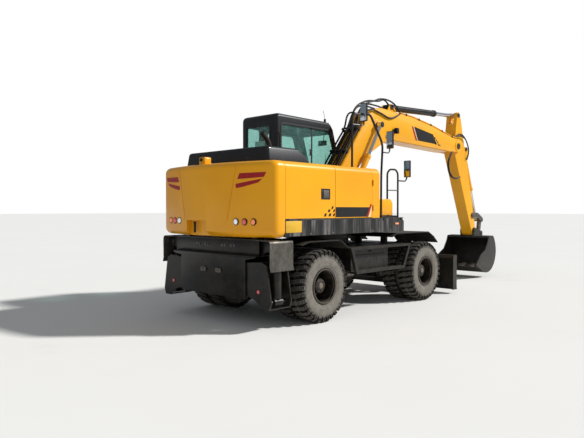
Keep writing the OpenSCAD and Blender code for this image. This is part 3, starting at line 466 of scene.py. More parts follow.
def built(fill):
    """A piece whose mesh is filled in by a function."""
    clear()
    bpy.ops.mesh.primitive_plane_add(size=1)
    piece = bpy.context.object
    shape = bmesh.new()
    fill(shape)
    bmesh.ops.recalc_face_normals(shape, faces=shape.faces)
    shape.to_mesh(piece.data)
    shape.free()
    return piece


def on_axis(axis, depth, pair):
    """A place from its depth along an axis and its pair of numbers across that axis."""
    place = list(pair)
    place.insert("XYZ".index(axis), depth)
    return place


def only_verts(parts):
    return [part for part in parts if isinstance(part, bmesh.types.BMVert)]


def bridge(shape, loops):
    """Faces between loops of as many corners, each to the next."""
    for a, b in zip(loops, loops[1:]):
        for i in range(len(a)):
            k = (i + 1) % len(a)
            shape.faces.new((a[i], a[k], b[k], b[i]))


def plate(outline, axis, low, high, round_by=0.0):
    """A flat outline, given as pairs across the axis, raised along it from low to high."""
    def fill(shape):
        face = shape.faces.new([shape.verts.new(on_axis(axis, low, pair)) for pair in outline])
        raised = bmesh.ops.extrude_face_region(shape, geom=[face])["geom"]
        bmesh.ops.translate(shape, vec=on_axis(axis, high - low, (0, 0)), verts=only_verts(raised))

    piece = built(fill)
    return rounded(piece, round_by) if round_by else piece


def inset(outline, wide):
    """A convex outline drawn in by a width on every side."""
    turn = sum(a[0] * b[1] - b[0] * a[1] for a, b in zip(outline, outline[1:] + outline[:1]))
    sign = 1 if turn > 0 else -1
    drawn = []
    for before, corner, after in corners_of(outline):
        back, on = (corner - before).normalized(), (after - corner).normalized()
        inner_a, inner_b = Vector((-back.y, back.x)) * sign, Vector((-on.y, on.x)) * sign
        middle = (inner_a + inner_b).normalized()
        drawn.append(tuple(corner + middle * wide / max(0.3, middle.dot(inner_a))))
    return drawn


def corners_of(outline):
    """Each corner between its neighbours."""
    line = [Vector(pair) for pair in outline]
    return zip(line[-1:] + line[:-1], line, line[1:] + line[:1])


def frame_strip(outline, wide, axis, low, high):
    """A flat frame inside an outline, such as a window's seal."""
    inner = inset(outline, wide)

    def fill(shape):
        loops = [[shape.verts.new(on_axis(axis, depth, pair)) for pair in line]
                 for line, depth in ((outline, low), (inner, low), (inner, high), (outline, high))]
        bridge(shape, loops + loops[:1])

    return rounded(built(fill), 0.003)


def soft_corner(before, corner, after, radius, share, steps):
    """Points that round a corner by a radius, or by a share of its shorter side."""
    back, on = before - corner, after - corner
    reach = min(radius, back.length * share, on.length * share)
    a, b = corner + back.normalized() * reach, corner + on.normalized() * reach
    shares = [i / steps for i in range(steps + 1)]
    return [(1 - t) ** 2 * a + 2 * t * (1 - t) * corner + t * t * b for t in shares]


def soft_outline(outline, radius):
    """An outline whose corners are rounded."""
    return [tuple(place) for turn in corners_of(outline) for place in soft_corner(*turn, radius, 0.4, 5)]


def bow(centre, radius, start, end, steps):
    """Points on part of a circle, in degrees."""
    angles = [math.radians(start + (end - start) * i / steps) for i in range(steps + 1)]
    return [(centre[0] + radius * math.cos(a), centre[1] + radius * math.sin(a)) for a in angles]


def sided(side, pairs):
    """Pairs (y, z) on the left side, for side 1, or on the right, for side -1."""
    return [(side * y, z) for y, z in pairs]


def pipe(points, radius, sides=10, smooth=True):
    """A round bar or hose along points, as a mesh with closed ends."""
    clear()
    bpy.ops.curve.primitive_bezier_curve_add()
    data = bpy.context.object.data
    data.splines.clear()
    spline = data.splines.new("BEZIER" if smooth else "POLY")
    if smooth:
        spline.bezier_points.add(len(points) - 1)
        for knot, place in zip(spline.bezier_points, points):
            knot.co = place
            knot.handle_left_type = knot.handle_right_type = "AUTO"
    else:
        spline.points.add(len(points) - 1)
        for knot, place in zip(spline.points, points):
            knot.co = (*place, 1)
    data.dimensions = "3D"
    data.bevel_depth = radius
    data.bevel_resolution = max(0, sides // 4 - 1)
    data.resolution_u = 6
    data.use_fill_caps = True
    bpy.ops.object.convert(target="MESH")
    return bpy.context.object


def bent_bar(points, radius, bend, sides=12):
    """A tube with round bends, like a handrail: each inner point is rounded by a bend radius."""
    line = [Vector(place) for place in points]
    bends = [place for turn in zip(line, line[1:], line[2:]) for place in soft_corner(*turn, bend, 0.45, 6)]
    return pipe(line[:1] + bends + line[-1:], radius, sides, smooth=False)


def joined(pieces):
    pick(*pieces)
    bpy.ops.object.join()
    return bpy.context.object


def copies(piece, places):
    """Copies of a piece, each moved by a matrix, joined into one."""
    made = []
    for place in places:
        twin = piece.copy()
        twin.data = piece.data.copy()
        twin.data.transform(place)
        bpy.context.collection.objects.link(twin)
        made.append(twin)
    bpy.data.objects.remove(piece)
    return joined(made)


def around_axle(piece, count, first=0.0):
    """Copies of a piece in even steps round the axle."""
    return copies(piece, [Matrix.Rotation(math.tau * (i + first) / count, 4, "Y") for i in range(count)])


def flipped(piece):
    """The piece moved to the machine's other side."""
    piece.data.transform(Matrix.Scale(-1, 4, (0, 1, 0)))
    piece.data.flip_normals()
    return piece


def cut(piece, *cutters):
    for cutter in cutters:
        finish_modifier(piece, "BOOLEAN", operation="DIFFERENCE", object=cutter, solver="EXACT")
        bpy.data.objects.remove(cutter)
    return piece


def bolt_row(places, axis, radius=0.011, tall=0.012):
    """Hexagon heads on washers, standing on their places along an axis given with its sign, such as -X."""
    out = Vector([(letter == axis[1]) * (-1 if axis[0] == "-" else 1) for letter in "XYZ"])
    head = barrel((0, 0, 0), out * tall, radius, 6, 0.0015)
    washer = barrel((0, 0, 0), out * 0.003, radius * 1.5, 16, 0.0)
    return copies(joined([head, washer]), [Matrix.Translation(place) for place in places])


def coat(piece, finish):
    piece.data.materials.clear()
    piece.data.materials.append(finish)
    return piece


def settle(name, parts, body="house", finish=PLASTIC, smooth=40):
    """Joins and names a piece and coats it. It rides on its body; a hose that runs between two bodies has
    None and rides on neither.
    """
    piece = joined(parts) if isinstance(parts, list) else parts
    pick(piece)
    piece.name = name
    coat(piece, finish)
    bpy.ops.object.transform_apply(location=True, rotation=True, scale=True)
    bpy.ops.object.shade_smooth_by_angle(angle=math.radians(smooth))
    if body:
        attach(piece, body)
    return piece


# Tyres and wheels

TYRE_R, TYRE_W = 0.529, 0.28
LUGS = 32
INNER_TYRE, OUTER_TYRE = 0.63, 0.97
PROFILE = [
    # radius, depth in from the tyre's face
    (0.256, 0.026), (0.268, 0.016), (0.285, 0.014), (0.300, 0.006), (0.345, 0.0), (0.395, 0.001),
    (0.440, 0.007), (0.458, 0.018), (0.474, 0.032), (0.484, 0.060), (0.488, 0.100),
]
LUG_STATIONS = [
    # depth in from the tyre's face, radius of the foot, radius of the top, lean along the tread
    (0.006, 0.440, 0.452, 0.0), (0.004, 0.448, 0.506, 0.0), (0.030, 0.468, TYRE_R - 0.001, 0.08),
    (0.090, 0.478, TYRE_R, 0.35), (0.152, 0.482, TYRE_R, 1.0), (0.158, 0.482, TYRE_R - 0.012, 1.05),
]
LUG_PITCH = math.tau * TYRE_R / LUGS
LUG_HALF, LUG_LEAN = LUG_PITCH * 0.27, LUG_PITCH * 0.42
SIDEWALL_RINGS, RING_DEPTH = (0.318, 0.432), 0.004
RIM_RINGS = [
    # place across, radius, thickness
    (1.236, 0.243, 0.007), (1.205, 0.236, 0.004), (0.921, 0.160, 0.006),
]
AXLES = [
    # name, place, degrees that its wheels are turned
    ("front", AXLES_MID + AXLES_APART / 2, 5), ("rear", AXLES_MID - AXLES_APART / 2, -3),
]


def tyre_carcass(start_y):
    """One tyre's casing: half its section, spun round the axle."""
    section = [(start_y + deep, r) for r, deep in PROFILE]
    section += [(start_y + TYRE_W - deep, r) for r, deep in reversed(PROFILE)]

    def fill(shape):
        knots = [shape.verts.new((0, y, r)) for y, r in section]
        for a, b in zip(knots, knots[1:] + knots[:1]):
            shape.edges.new((a, b))
        bmesh.ops.spin(shape, geom=shape.verts[:] + shape.edges[:], axis=(0, 1, 0), cent=(0, 0, 0),
                       steps=96, angle=math.tau)
        bmesh.ops.remove_doubles(shape, verts=shape.verts, dist=1e-5)

    return built(fill)


def lug(start_y, side):
    """A tread block that starts over the shoulder and leans towards the middle."""
    outer = start_y if side < 0 else start_y + TYRE_W

    def fill(shape):
        loops = []
        for depth, foot, top, push in LUG_STATIONS:
            across = ((-LUG_HALF * 1.12, foot), (-LUG_HALF * 0.92, top), (LUG_HALF * 0.92, top),
                      (LUG_HALF * 1.12, foot))
            turns = [((width - side * LUG_LEAN * push) / TYRE_R, r) for width, r in across]
            loops.append([shape.verts.new((r * math.sin(turn), outer - side * depth, r * math.cos(turn)))
                          for turn, r in turns])
        bridge(shape, loops)
        shape.faces.new(loops[0])
        shape.faces.new(loops[-1])

    return built(fill)


def tyre_pair():
    """Two tyres for the left side, centred on the axle."""
    parts = []
    for start_y in (INNER_TYRE, OUTER_TYRE):
        parts.append(tyre_carcass(start_y))
        parts += [around_axle(lug(start_y, side), LUGS, (side > 0) * 0.5) for side in SIDES]
        parts += [ring((0, y, 0), (0, 1, 0), radius, 0.004, 72, 6)
                  for y in (start_y + RING_DEPTH, start_y + TYRE_W - RING_DEPTH) for radius in SIDEWALL_RINGS]
    return joined(parts)


def wheel_trim():
    """Nuts, hub flange bolts, hub cap and valve on the outer wheel, for the left side."""
    nut = joined([barrel((0.205, 0.918, 0), (0.205, 0.938, 0), 0.016, 6, 0.002),
                  barrel((0.205, 0.930, 0), (0.205, 0.952, 0), 0.009, 10, 0.001)])
    parts = [around_axle(nut, 10),
             around_axle(barrel((0.128, 1.048, 0), (0.128, 1.062, 0), 0.010, 6, 0.0015), 12),
             around_axle(barrel((0.082, 1.148, 0), (0.082, 1.158, 0), 0.007, 6, 0.001), 6),
             barrel((0, 1.150, 0), (0, 1.172, 0), 0.052, 24, 0.006, 0.040),
             pipe([(0, 0.93, 0.222), (0, 0.97, 0.224), (0, 1.02, 0.216)], 0.005, 8)]
    parts += [ring((0, y, 0), (0, 1, 0), radius, thick, 56, 8) for y, radius, thick in RIM_RINGS]
    return joined(parts)


for end, x, degrees in AXLES:
    for side in ("left", "right"):
        body = f"wheels_{end}_{side}"
        pair, trim = tyre_pair(), wheel_trim()
        for piece in (pair, trim):
            piece.data.transform(Matrix.Rotation(math.radians(degrees), 4, "Y"))
            if side == "right":
                flipped(piece)
            piece.data.transform(Matrix.Translation((x, 0, HUB_HEIGHT)))
        settle(f"tread_{end}_{side}", pair, body, TYRE, 35)
        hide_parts(f"tyres_{end}_{side}")
        settle(f"wheel_trim_{end}_{side}", trim, body, HUB, 30)

# Counterweight: bulged and rounded, with its lamps, stripes and camera

TAIL_X, TAIL_BULGE = -2.5, 4.2
TAIL_SEAM = -2.12
HALF_WIDTH = 1.25
BULGE_HALF, CORNER_R = 1.13, 0.12
HOUSE_LOW, BODY_TOP = 1.26, 2.30
GROOVE = [(0.475, 1.50), (0.487, 1.50), (0.668, 2.33), (0.656, 2.33)]
LAMP_Z = 1.473
LAMPS = [
    # name, place across, finish
    ("white", 0.64, WHITE_LENS), ("red", 0.785, RED_LENS), ("amber", 0.93, AMBER_LENS),
]
STRIPES = [
    [(-0.662, 2.055), (-0.700, 2.134), (-1.125, 2.138), (-1.088, 2.073), (-0.891, 2.062)],
    [(-0.631, 1.990), (-0.850, 2.022), (-1.065, 2.051), (-1.003, 2.000), (-0.760, 1.948), (-0.640, 1.932)],
]


def tail_at(y):
    """Where the counterweight's bulged back lies."""
    return TAIL_X + TAIL_BULGE - math.sqrt(TAIL_BULGE ** 2 - y * y)


def tail_film(outline, proud=0.0012, thick=0.003):
    """A film on the curved back, from (y, z) pairs, cut in strips so that it follows the curve."""
    low, high = min(p[0] for p in outline), max(p[0] for p in outline)

    def fill(shape):
        face = shape.faces.new([shape.verts.new((0, y, z)) for y, z in outline])
        for vert in only_verts(bmesh.ops.extrude_face_region(shape, geom=[face])["geom"]):
            vert.co.x = thick
        for i in range(1, 16):
            bmesh.ops.bisect_plane(shape, geom=shape.verts[:] + shape.edges[:] + shape.faces[:],
                                   plane_co=(0, low + (high - low) * i / 16, 0), plane_no=(0, 1, 0))
        for vert in shape.verts:
            vert.co.x += tail_at(vert.co.y) - proud

    return built(fill)


def counterweight():
    half = math.degrees(math.asin(BULGE_HALF / TAIL_BULGE))
    corner_x = tail_at(BULGE_HALF) + 0.13
    plan = (bow((TAIL_X + TAIL_BULGE, 0), TAIL_BULGE, 180 - half, 180 + half, 24)
            + bow((corner_x, -BULGE_HALF), CORNER_R, 200, 270, 6)
            + [(-1.95, -HALF_WIDTH), (-1.95, HALF_WIDTH)] + bow((corner_x, BULGE_HALF), CORNER_R, 90, 160, 6))
    weight = rounded(plate(plan, "Z", HOUSE_LOW, BODY_TOP), 0.095, 6, 50)
    cut(weight, block((TAIL_SEAM, -1.4, 1.1), (-1.8, 1.4, 2.5), 0),
        plate([(-2.56, 1.37), (-2.56, 1.2), (-2.30, 1.2)], "Y", -1.4, 1.4),
        block((-2.56, -0.04, 1.2), (-2.38, 0.43, 1.485), 0.012))
    cut(weight, *[tail_film(sided(side, GROOVE), 0.01, 0.016) for side in SIDES])
    return [weight, block((-2.42, 0.08, BODY_TOP - 0.02), (-2.29, 0.22, BODY_TOP + 0.105), 0.018, 3)]


weight = settle("counterweight_casting", counterweight(), "house", YELLOW, 30)
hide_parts("counterweight")

bezels = []
for name, across, finish in LAMPS:
    face = tail_at(across) - 0.006
    lenses = []
    for y in (-across, across):
        lenses.append(barrel((face, y, LAMP_Z), (face - 0.011, y, LAMP_Z), 0.040, 32, 0.004, 0.035))
        bezels.append(barrel((face + 0.04, y, LAMP_Z), (face - 0.001, y, LAMP_Z), 0.047, 40, 0.001))
        bezels.append(ring((face - 0.001, y, LAMP_Z), (1, 0, 0), 0.0435, 0.005, 40, 8))
    settle(f"rear_lamps_{name}", lenses, finish=finish)
settle("lamp_bezels", bezels)
settle("tail_stripes", [tail_film(sided(side, line)) for line in STRIPES for side in (1, -1)],
       finish=RED_FILM, smooth=20)
settle("camera_lens", [
    barrel((-2.415, 0.15, 2.362), (-2.436, 0.15, 2.362), 0.026, 28, 0.003),
    frame_strip([(0.095, 2.312), (0.205, 2.312), (0.205, 2.396), (0.095, 2.396)], 0.006, "X", -2.423, -2.417),
])
settle("tow_pin", [
    barrel((-2.405, 0.06, 1.36), (-2.375, 0.06, 1.36), 0.024, 20),
    barrel((-2.43, 0.30, 1.30), (-2.43, 0.30, 1.46), 0.017, 20, 0.003),
    ring((-2.43, 0.30, 1.455), (0, 0, 1), 0.024, 0.006, 24, 8),
], "house", CHASSIS)

# Doors and skirt: band, checks, latch, plate, marker lamps

SIDE_FILMS = [
    # name, finish, outline
    ("band", BLACK_FILM, [(-1.040, 1.676), (-0.190, 1.676), (-0.264, 1.526), (-1.040, 1.526)]),
    ("slant_red", RED_FILM, [(-0.168, 1.726), (-0.126, 1.726), (-0.224, 1.523), (-0.267, 1.523)]),
    ("slant_white", WHITE_FILM, [(-0.120, 1.690), (-0.120, 1.655), (-0.172, 1.524), (-0.205, 1.524)]),
]
CHECKS = [
    # left end, low end, width, height
    (-1.146, 1.648, 0.052, 0.040), (-1.228, 1.602, 0.062, 0.040), (-1.108, 1.602, 0.050, 0.040),
    (-1.312, 1.540, 0.060, 0.044), (-1.210, 1.540, 0.064, 0.044), (-1.112, 1.540, 0.054, 0.044),
]
LATCH = [(-1.373, 1.785), (-1.173, 1.785), (-1.173, 1.940), (-1.373, 1.940)]
LEFT_LATCH = [(-0.955, 1.80), (-0.815, 1.80), (-0.815, 1.90), (-0.955, 1.90)]
LOUVRE_LONG, LOUVRE_TALL, LOUVRE_LOW, LOUVRE_STEP = 0.42, 0.022, 1.64, 0.06
HINGE_X, HINGES_Z = -0.098, (1.62, 2.02)
SKIN = 1.249  # just inside the sides' outer faces


def side_film(outline):
    return plate(outline, "Y", -HALF_WIDTH - 0.0012, -HALF_WIDTH + 0.001)


for name, finish, outline in SIDE_FILMS:
    settle(f"side_{name}", side_film(outline), "door_right_front", finish)
checks = [side_film([(x + 0.022, z + tall), (x + wide + 0.006, z + tall), (x + wide - 0.012, z), (x, z)])
          for x, z, wide, tall in CHECKS]
settle("side_checks", checks, "door_right_rear", BLACK_FILM)

settle("latch_dish", plate(inset(LATCH, 0.004), "Y", -1.2508, -SKIN), "door_right_rear", finish=SEAL)
settle("latch_frame", [frame_strip(LATCH, 0.009, "Y", -1.2545, -SKIN),
                       block((-1.362, -1.2555, 1.812), (-1.322, -1.2500, 1.914))], "door_right_rear")
settle("latch_paddle", [block((-1.312, -1.2540, 1.812), (-1.200, -1.2495, 1.914), 0.004, 3),
                        barrel((-1.222, -1.2530, 1.892), (-1.222, -1.2570, 1.892), 0.010, 20, 0.001)],
       "door_right_rear", STEEL)
settle("left_door_latch", [frame_strip(LEFT_LATCH, 0.010, "Y", SKIN, 1.254),
                           block((-0.943, SKIN, 1.812), (-0.827, 1.2565, 1.888))], "door_left")
louvres = [block((x, 1.2485, z), (x + LOUVRE_LONG, 1.2540, z + LOUVRE_TALL), 0.002)
           for x in (-2.00, -1.50) for z in (LOUVRE_LOW + LOUVRE_STEP * i for i in range(7))]
settle("left_door_louvres", louvres, "door_left")
hinges = [barrel((HINGE_X, -1.262, z), (HINGE_X, -1.262, z + 0.09), 0.010, 14) for z in HINGES_Z]
hinges += [block((HINGE_X, -1.258, z + 0.01), (HINGE_X + 0.05, -SKIN, z + 0.08), 0.002) for z in HINGES_Z]
settle("door_hinges", hinges, "house", YELLOW)

settle("skirt_plate", block((-2.106, -1.2525, 1.326), (-1.788, -SKIN, 1.484), 0.0015), "house",
       PLATE_YELLOW)
settle("skirt_ledges", [block((-2.115, side * 1.235, 1.494), (0.80, side * 1.254, 1.5075)) for side in SIDES],
       finish=BRIGHT_BLACK)
settle("marker_lamps", [block((0.548, side * SKIN, 1.390), (0.652, side * 1.257, 1.420), 0.003, 3)
                        for side in SIDES], "house", AMBER_LENS)
settle("marker_feet", [block((0.536, side * SKIN, 1.382), (0.664, side * 1.2535, 1.428), 0.002)
                       for side in SIDES])
skirt_bolts = [bolt_row([(-1.6 + 0.5 * i, -HALF_WIDTH, 1.30) for i in range(5)], "-Y", 0.008, 0.008)
               for side in SIDES]
flipped(skirt_bolts[1])
settle("skirt_bolts", skirt_bolts, "house", STEEL)

# Cover over the engine: a moulded lid with a flange and ribs

LID_TOP, LID_FOOT, LID_REAR = 2.540, 2.301, -2.046
LID_SIDE = [(LID_REAR, LID_FOOT), (-2.030, LID_TOP), (-1.375, LID_TOP), (-1.175, 2.405), (-1.150, LID_FOOT)]


def engine_cover():
    cover = plate(LID_SIDE, "Y", -0.86, 1.03)
    for vert in cover.data.vertices:
        if vert.co.z > 2.4:
            vert.co.y *= 0.955 if vert.co.z > 2.45 else 0.975
    rounded(cover, 0.045, 5, 30)
    flange = block((-2.045, -0.93, LID_FOOT), (-1.115, 1.07, 2.330), 0.010, 3)
    pads = [block((-1.93, y - 0.17, LID_TOP - 0.02), (-1.45, y + 0.17, LID_TOP + 0.010), 0.012, 3)
            for y in (-0.54, -0.13, 0.28, 0.69)]
    return [cover, flange] + pads


cover = settle("engine_cover", engine_cover(), "hood_lid", HOOD)
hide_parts("hood_lid")
catches = [barrel((-1.118, y - 0.06, 2.340), (-1.118, y + 0.06, 2.340), 0.012, 14) for y in (-0.6, 0.6)]
settle("lid_catches", catches, "hood_lid", STEEL)

# Deck: the step box, the yellow tank and the exhaust stack

TANK_SIDE = [(0.17, 1.541), (0.64, 1.541), (0.64, 1.745), (0.58, 1.815), (0.17, 1.815)]
STACK_X, STACK_Y = -0.99, 0.19
CAP_X, CAP_Y = 0.36, -0.87


def stack_at(back, z):
    """A place on the exhaust stack, from its distance behind the upright pipe's middle and its height."""
    return STACK_X - back, STACK_Y, z


box_parts = [block((0.091, -1.155, 1.306), (0.760, -0.480, 1.538), 0.012, 3)]
box_parts += [block((0.13 + 0.075 * i, -1.13, 1.536), (0.155 + 0.075 * i, -0.50, 1.541), 0.002)
              for i in range(8)]
box = settle("deck_box", box_parts, finish=CHASSIS)
tank = settle("yellow_tank", plate(TANK_SIDE, "Y", -1.145, -0.60, 0.012), "house", YELLOW)
stack = settle("exhaust_stack", [
    barrel(stack_at(0, 2.30), stack_at(0, 2.49), 0.066, 40, 0.006),
    bent_bar([stack_at(0, 2.46), stack_at(0, 2.745), stack_at(0.15, 2.88)], 0.043, 0.12, 24),
] + [ring(stack_at(0, z), (0, 0, 1), 0.0445, 0.004, 32, 8) for z in (2.56, 2.60, 2.66)],
    "house", EXHAUST)
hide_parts("deck_fittings")
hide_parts("deck_fittings")
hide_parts("deck_fittings")
settle("exhaust_mouth", [barrel(stack_at(0.146, 2.8765), stack_at(0.158, 2.887), 0.0455, 32),
                         barrel(stack_at(0.157, 2.886), stack_at(0.159, 2.888), 0.039, 32, 0.0)],
       "house", SEAL)
settle("filler_cap", [barrel((CAP_X, CAP_Y, 1.812), (CAP_X, CAP_Y, 1.862), 0.055, 32, 0.006),
                      barrel((CAP_X, CAP_Y, 1.862), (CAP_X, CAP_Y, 1.872), 0.030, 24, 0.003),
                      block((CAP_X - 0.01, CAP_Y - 0.055, 1.862), (CAP_X + 0.01, CAP_Y + 0.055, 1.878))])
settle("deck_strips", [block((x, -1.02, 2.2995), (x + 0.30, -0.62, 2.3045), 0.002) for x in (-0.62, -0.24)],
       finish=TREAD_PLATE)

# Handrails and mirrors

RAIL_Y, FRONT_RAIL_Y = -1.19, -1.182
MIRRORS = [(1.032, -1.185, 2.345), (0.492, -1.185, 2.802), (-0.203, -1.150, 3.183)]
RAILS = [
    # points, radius, bend
    ([(0.220, RAIL_Y, 1.50), (0.225, RAIL_Y, 2.20), (0.264, RAIL_Y, 2.717), (-0.089, RAIL_Y, 3.152),
      (-0.203, -1.155, 3.17)], 0.018, 0.10),
    ([(-0.446, -1.10, 2.295), (-0.446, -1.10, 3.07), (-0.395, -1.105, 3.14), (-0.203, -1.15, 3.15)],
     0.017, 0.05),
    ([(-0.446, -1.10, 2.972), (-0.203, -1.15, 2.972), (-0.203, -1.15, 3.06)], 0.011, 0.03),
    ([(0.255, RAIL_Y, 2.58), (0.455, RAIL_Y, 2.58), (0.492, RAIL_Y, 2.70)], 0.011, 0.04),
    ([(0.500, -1.125, 1.53), (0.500, -1.125, 2.25), (0.555, -1.138, 2.316), (0.690, -1.170, 2.316),
      (0.735, FRONT_RAIL_Y, 2.25), (0.735, FRONT_RAIL_Y, 1.50)], 0.016, 0.06),
    ([(0.500, -1.125, 1.965), (0.735, FRONT_RAIL_Y, 1.965)], 0.011, 0.0),
    ([(0.735, FRONT_RAIL_Y, 2.13), (0.985, -1.185, 2.13), (1.032, -1.185, 2.23)], 0.012, 0.05),
]
rails = [bent_bar(*rail) for rail in RAILS]
rails += [barrel((x, y, z), (x, y, z + 0.012), 0.036, 24, 0.003)
          for x, y, z in ((-0.446, -1.10, 2.298), (0.500, -1.125, 1.538))]
rails += [block((x - 0.03, -1.262, 1.46), (x + 0.03, y + 0.02, 1.508), 0.006)
          for x, y in ((0.22, RAIL_Y), (0.735, FRONT_RAIL_Y))]
for x, y, z in MIRRORS:
    rails.append(block((x - 0.017, y - 0.066, z - 0.146), (x + 0.019, y + 0.066, z + 0.146), 0.014, 4))
    rails.append(barrel((x, y, z - 0.06), (x, y, z - 0.145), 0.016, 16, 0.003))
rails_piece = settle("rails_and_mirrors", rails, finish=CAB_BLACK)
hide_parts("rails_mirrors")
settle("mirror_glass", [block((x - 0.0195, y - 0.056, z - 0.134), (x - 0.0165, y + 0.056, z + 0.134), 0.001)
                        for x, y, z in MIRRORS], "house", MIRROR)

# Cab: a rounded shell with seals, wiper, handles and roof parts

CAB_Y = (0.345, 1.225)
CAB_REAR, CAB_TOP, CAB_FLOOR = -0.665, 3.30, 1.506
CAB_LINE = (bow((CAB_REAR + 0.09, CAB_TOP - 0.09), 0.09, 180, 90, 6)
            + [(0.70, CAB_TOP - 0.012), (0.82, CAB_TOP - 0.045), (0.90, CAB_TOP - 0.14), (1.23, 2.15),
               (1.15, CAB_FLOOR), (CAB_REAR, CAB_FLOOR)])
SIDE_WINDOW = [(-0.545, 2.24), (-0.545, 3.125), (0.765, 3.125), (0.852, 2.90), (1.078, 2.24)]
REAR_LEFT_WINDOW = [(-0.545, 2.24), (-0.545, 3.125), (-0.215, 3.125), (-0.215, 2.24)]
REAR_WINDOW = [(0.500, 2.345), (1.105, 2.345), (1.105, 3.105), (0.500, 3.105)]
DOOR_LINE = [(-0.120, 1.570), (-0.120, 3.155), (0.740, 3.155), (0.810, 3.085), (1.120, 2.150), (1.050, 1.570)]
SIDE_SEAL = [(-0.565, 2.22), (-0.565, 3.145), (0.777, 3.145), (0.872, 2.90), (1.103, 2.22)]
REAR_SEAL = [(0.482, 2.327), (1.123, 2.327), (1.123, 3.123), (0.482, 3.123)]
REAR_LEFT_SEAL = [(-0.563, 2.222), (-0.563, 3.143), (-0.197, 3.143), (-0.197, 2.222)]
DOOR_SEAL = [(-0.055, 1.885), (-0.055, 3.10), (0.738, 3.10), (1.056, 2.165), (1.034, 1.885)]
HANDLE = [(-0.105, 1.93), (-0.065, 1.93), (-0.065, 2.10), (-0.105, 2.10)]
HATCH = [(0.04, 0.515), (0.66, 0.515), (0.66, 1.055), (0.04, 1.055)]
AERIAL = (0.72, 0.42)


def cab_shell():
    shell = rounded(plate(CAB_LINE, "Y", *CAB_Y), 0.06, 5, 50)
    return cut(shell, plate(inset(CAB_LINE, 0.055), "Y", CAB_Y[0] + 0.045, CAB_Y[1] - 0.045),
               plate(soft_outline(SIDE_WINDOW, 0.07), "Y", 0.30, 0.43), plate(DOOR_LINE, "Y", 1.14, 1.30),
               plate(soft_outline(REAR_LEFT_WINDOW, 0.05), "Y", 1.14, 1.30),
               plate(soft_outline(REAR_WINDOW, 0.06), "X", -0.75, -0.55),
               block((0.80, 0.425, 1.75), (1.40, 1.145, 3.075), 0),
               block((0.06, 0.535, 3.15), (0.64, 1.035, 3.40), 0))


shell = settle("cab_shell_moulded", cab_shell(), finish=CAB_BLACK, smooth=35)
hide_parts("cab_shell")
settle("window_seals", [
    frame_strip(soft_outline(SIDE_SEAL, 0.08), 0.032, "Y", 0.338, 0.350),
    frame_strip(soft_outline(REAR_SEAL, 0.07), 0.032, "X", CAB_REAR - 0.007, CAB_REAR + 0.004),
    frame_strip(soft_outline(REAR_LEFT_SEAL, 0.06), 0.030, "Y", 1.222, 1.232),
], "house", SEAL)
door_seal = frame_strip(soft_outline(DOOR_SEAL, 0.06), 0.03, "Y", 1.247, 1.256)
settle("door_seal", door_seal, "cab_door", SEAL)
settle("door_handle", [frame_strip(HANDLE, 0.007, "Y", 1.249, 1.256),
                       block((-0.096, 1.249, 1.945), (-0.074, 1.257, 2.085), 0.003)],
       "cab_door")
settle("window_slider", [block((0.255, 0.351, 2.26), (0.285, 0.366, 3.11)),
                         block((0.20, 0.338, 2.62), (0.235, 0.352, 2.74))], finish=SEAL)
settle("roof_fittings", [
    frame_strip(HATCH, 0.045, "Z", CAB_TOP - 0.004, CAB_TOP + 0.014),
    block((0.68, 0.45, CAB_TOP - 0.03), (0.88, 1.12, CAB_TOP - 0.005), 0.008),
    barrel((-0.45, 0.62, CAB_TOP - 0.004), (-0.45, 0.62, CAB_TOP + 0.02), 0.035, 24, 0.004),
    barrel((*AERIAL, CAB_TOP - 0.03), (*AERIAL, CAB_TOP + 0.045), 0.022, 20, 0.004),
    pipe([(*AERIAL, CAB_TOP + 0.04), (0.70, 0.42, CAB_TOP + 0.12), (0.67, 0.42, CAB_TOP + 0.20)], 0.004, 8),
])
settle("wiper", [pipe([(1.205, 0.78, 2.10), (1.13, 0.76, 2.42), (1.045, 0.66, 2.72)], 0.006, 8),
                 block((1.190, 0.76, 2.06), (1.228, 0.82, 2.12), 0.008)])
grab_bar = [(-0.615, 0.344, 2.40), (-0.615, 0.300, 2.40), (-0.635, 0.300, 2.95), (-0.635, 0.344, 2.95)]
settle("cab_grab_bar", bent_bar(grab_bar, 0.011, 0.03))

# Cab interior: padded seat, armrests, wheel, levers, screen and sheet

MID = sum(CAB_Y) / 2
WHEEL_CENTRE = (0.79, MID, 2.18)
INNER_FLOOR = 1.566


def cushion(low, high, puff, place=(0, 0, 0), lean=0):
    """A block with many faces, blown up a little between its piped edges, then leant back and moved."""
    piece = block(low, high, 0.045, 4)
    finish_modifier(piece, "SUBSURF", levels=1, render_levels=1)
    centre = [(a + b) / 2 for a, b in zip(low, high)]
    half = [(b - a) / 2 for a, b in zip(low, high)]
    for vert in piece.data.vertices:
        offset = [(vert.co[i] - centre[i]) / half[i] for i in range(3)]
        vert.co.z += puff * math.prod(max(0.0, 1 - part ** 2) for part in offset)
    piece.data.transform(Matrix.Translation(place) @ Matrix.Rotation(math.radians(-lean), 4, "Y"))
    return piece


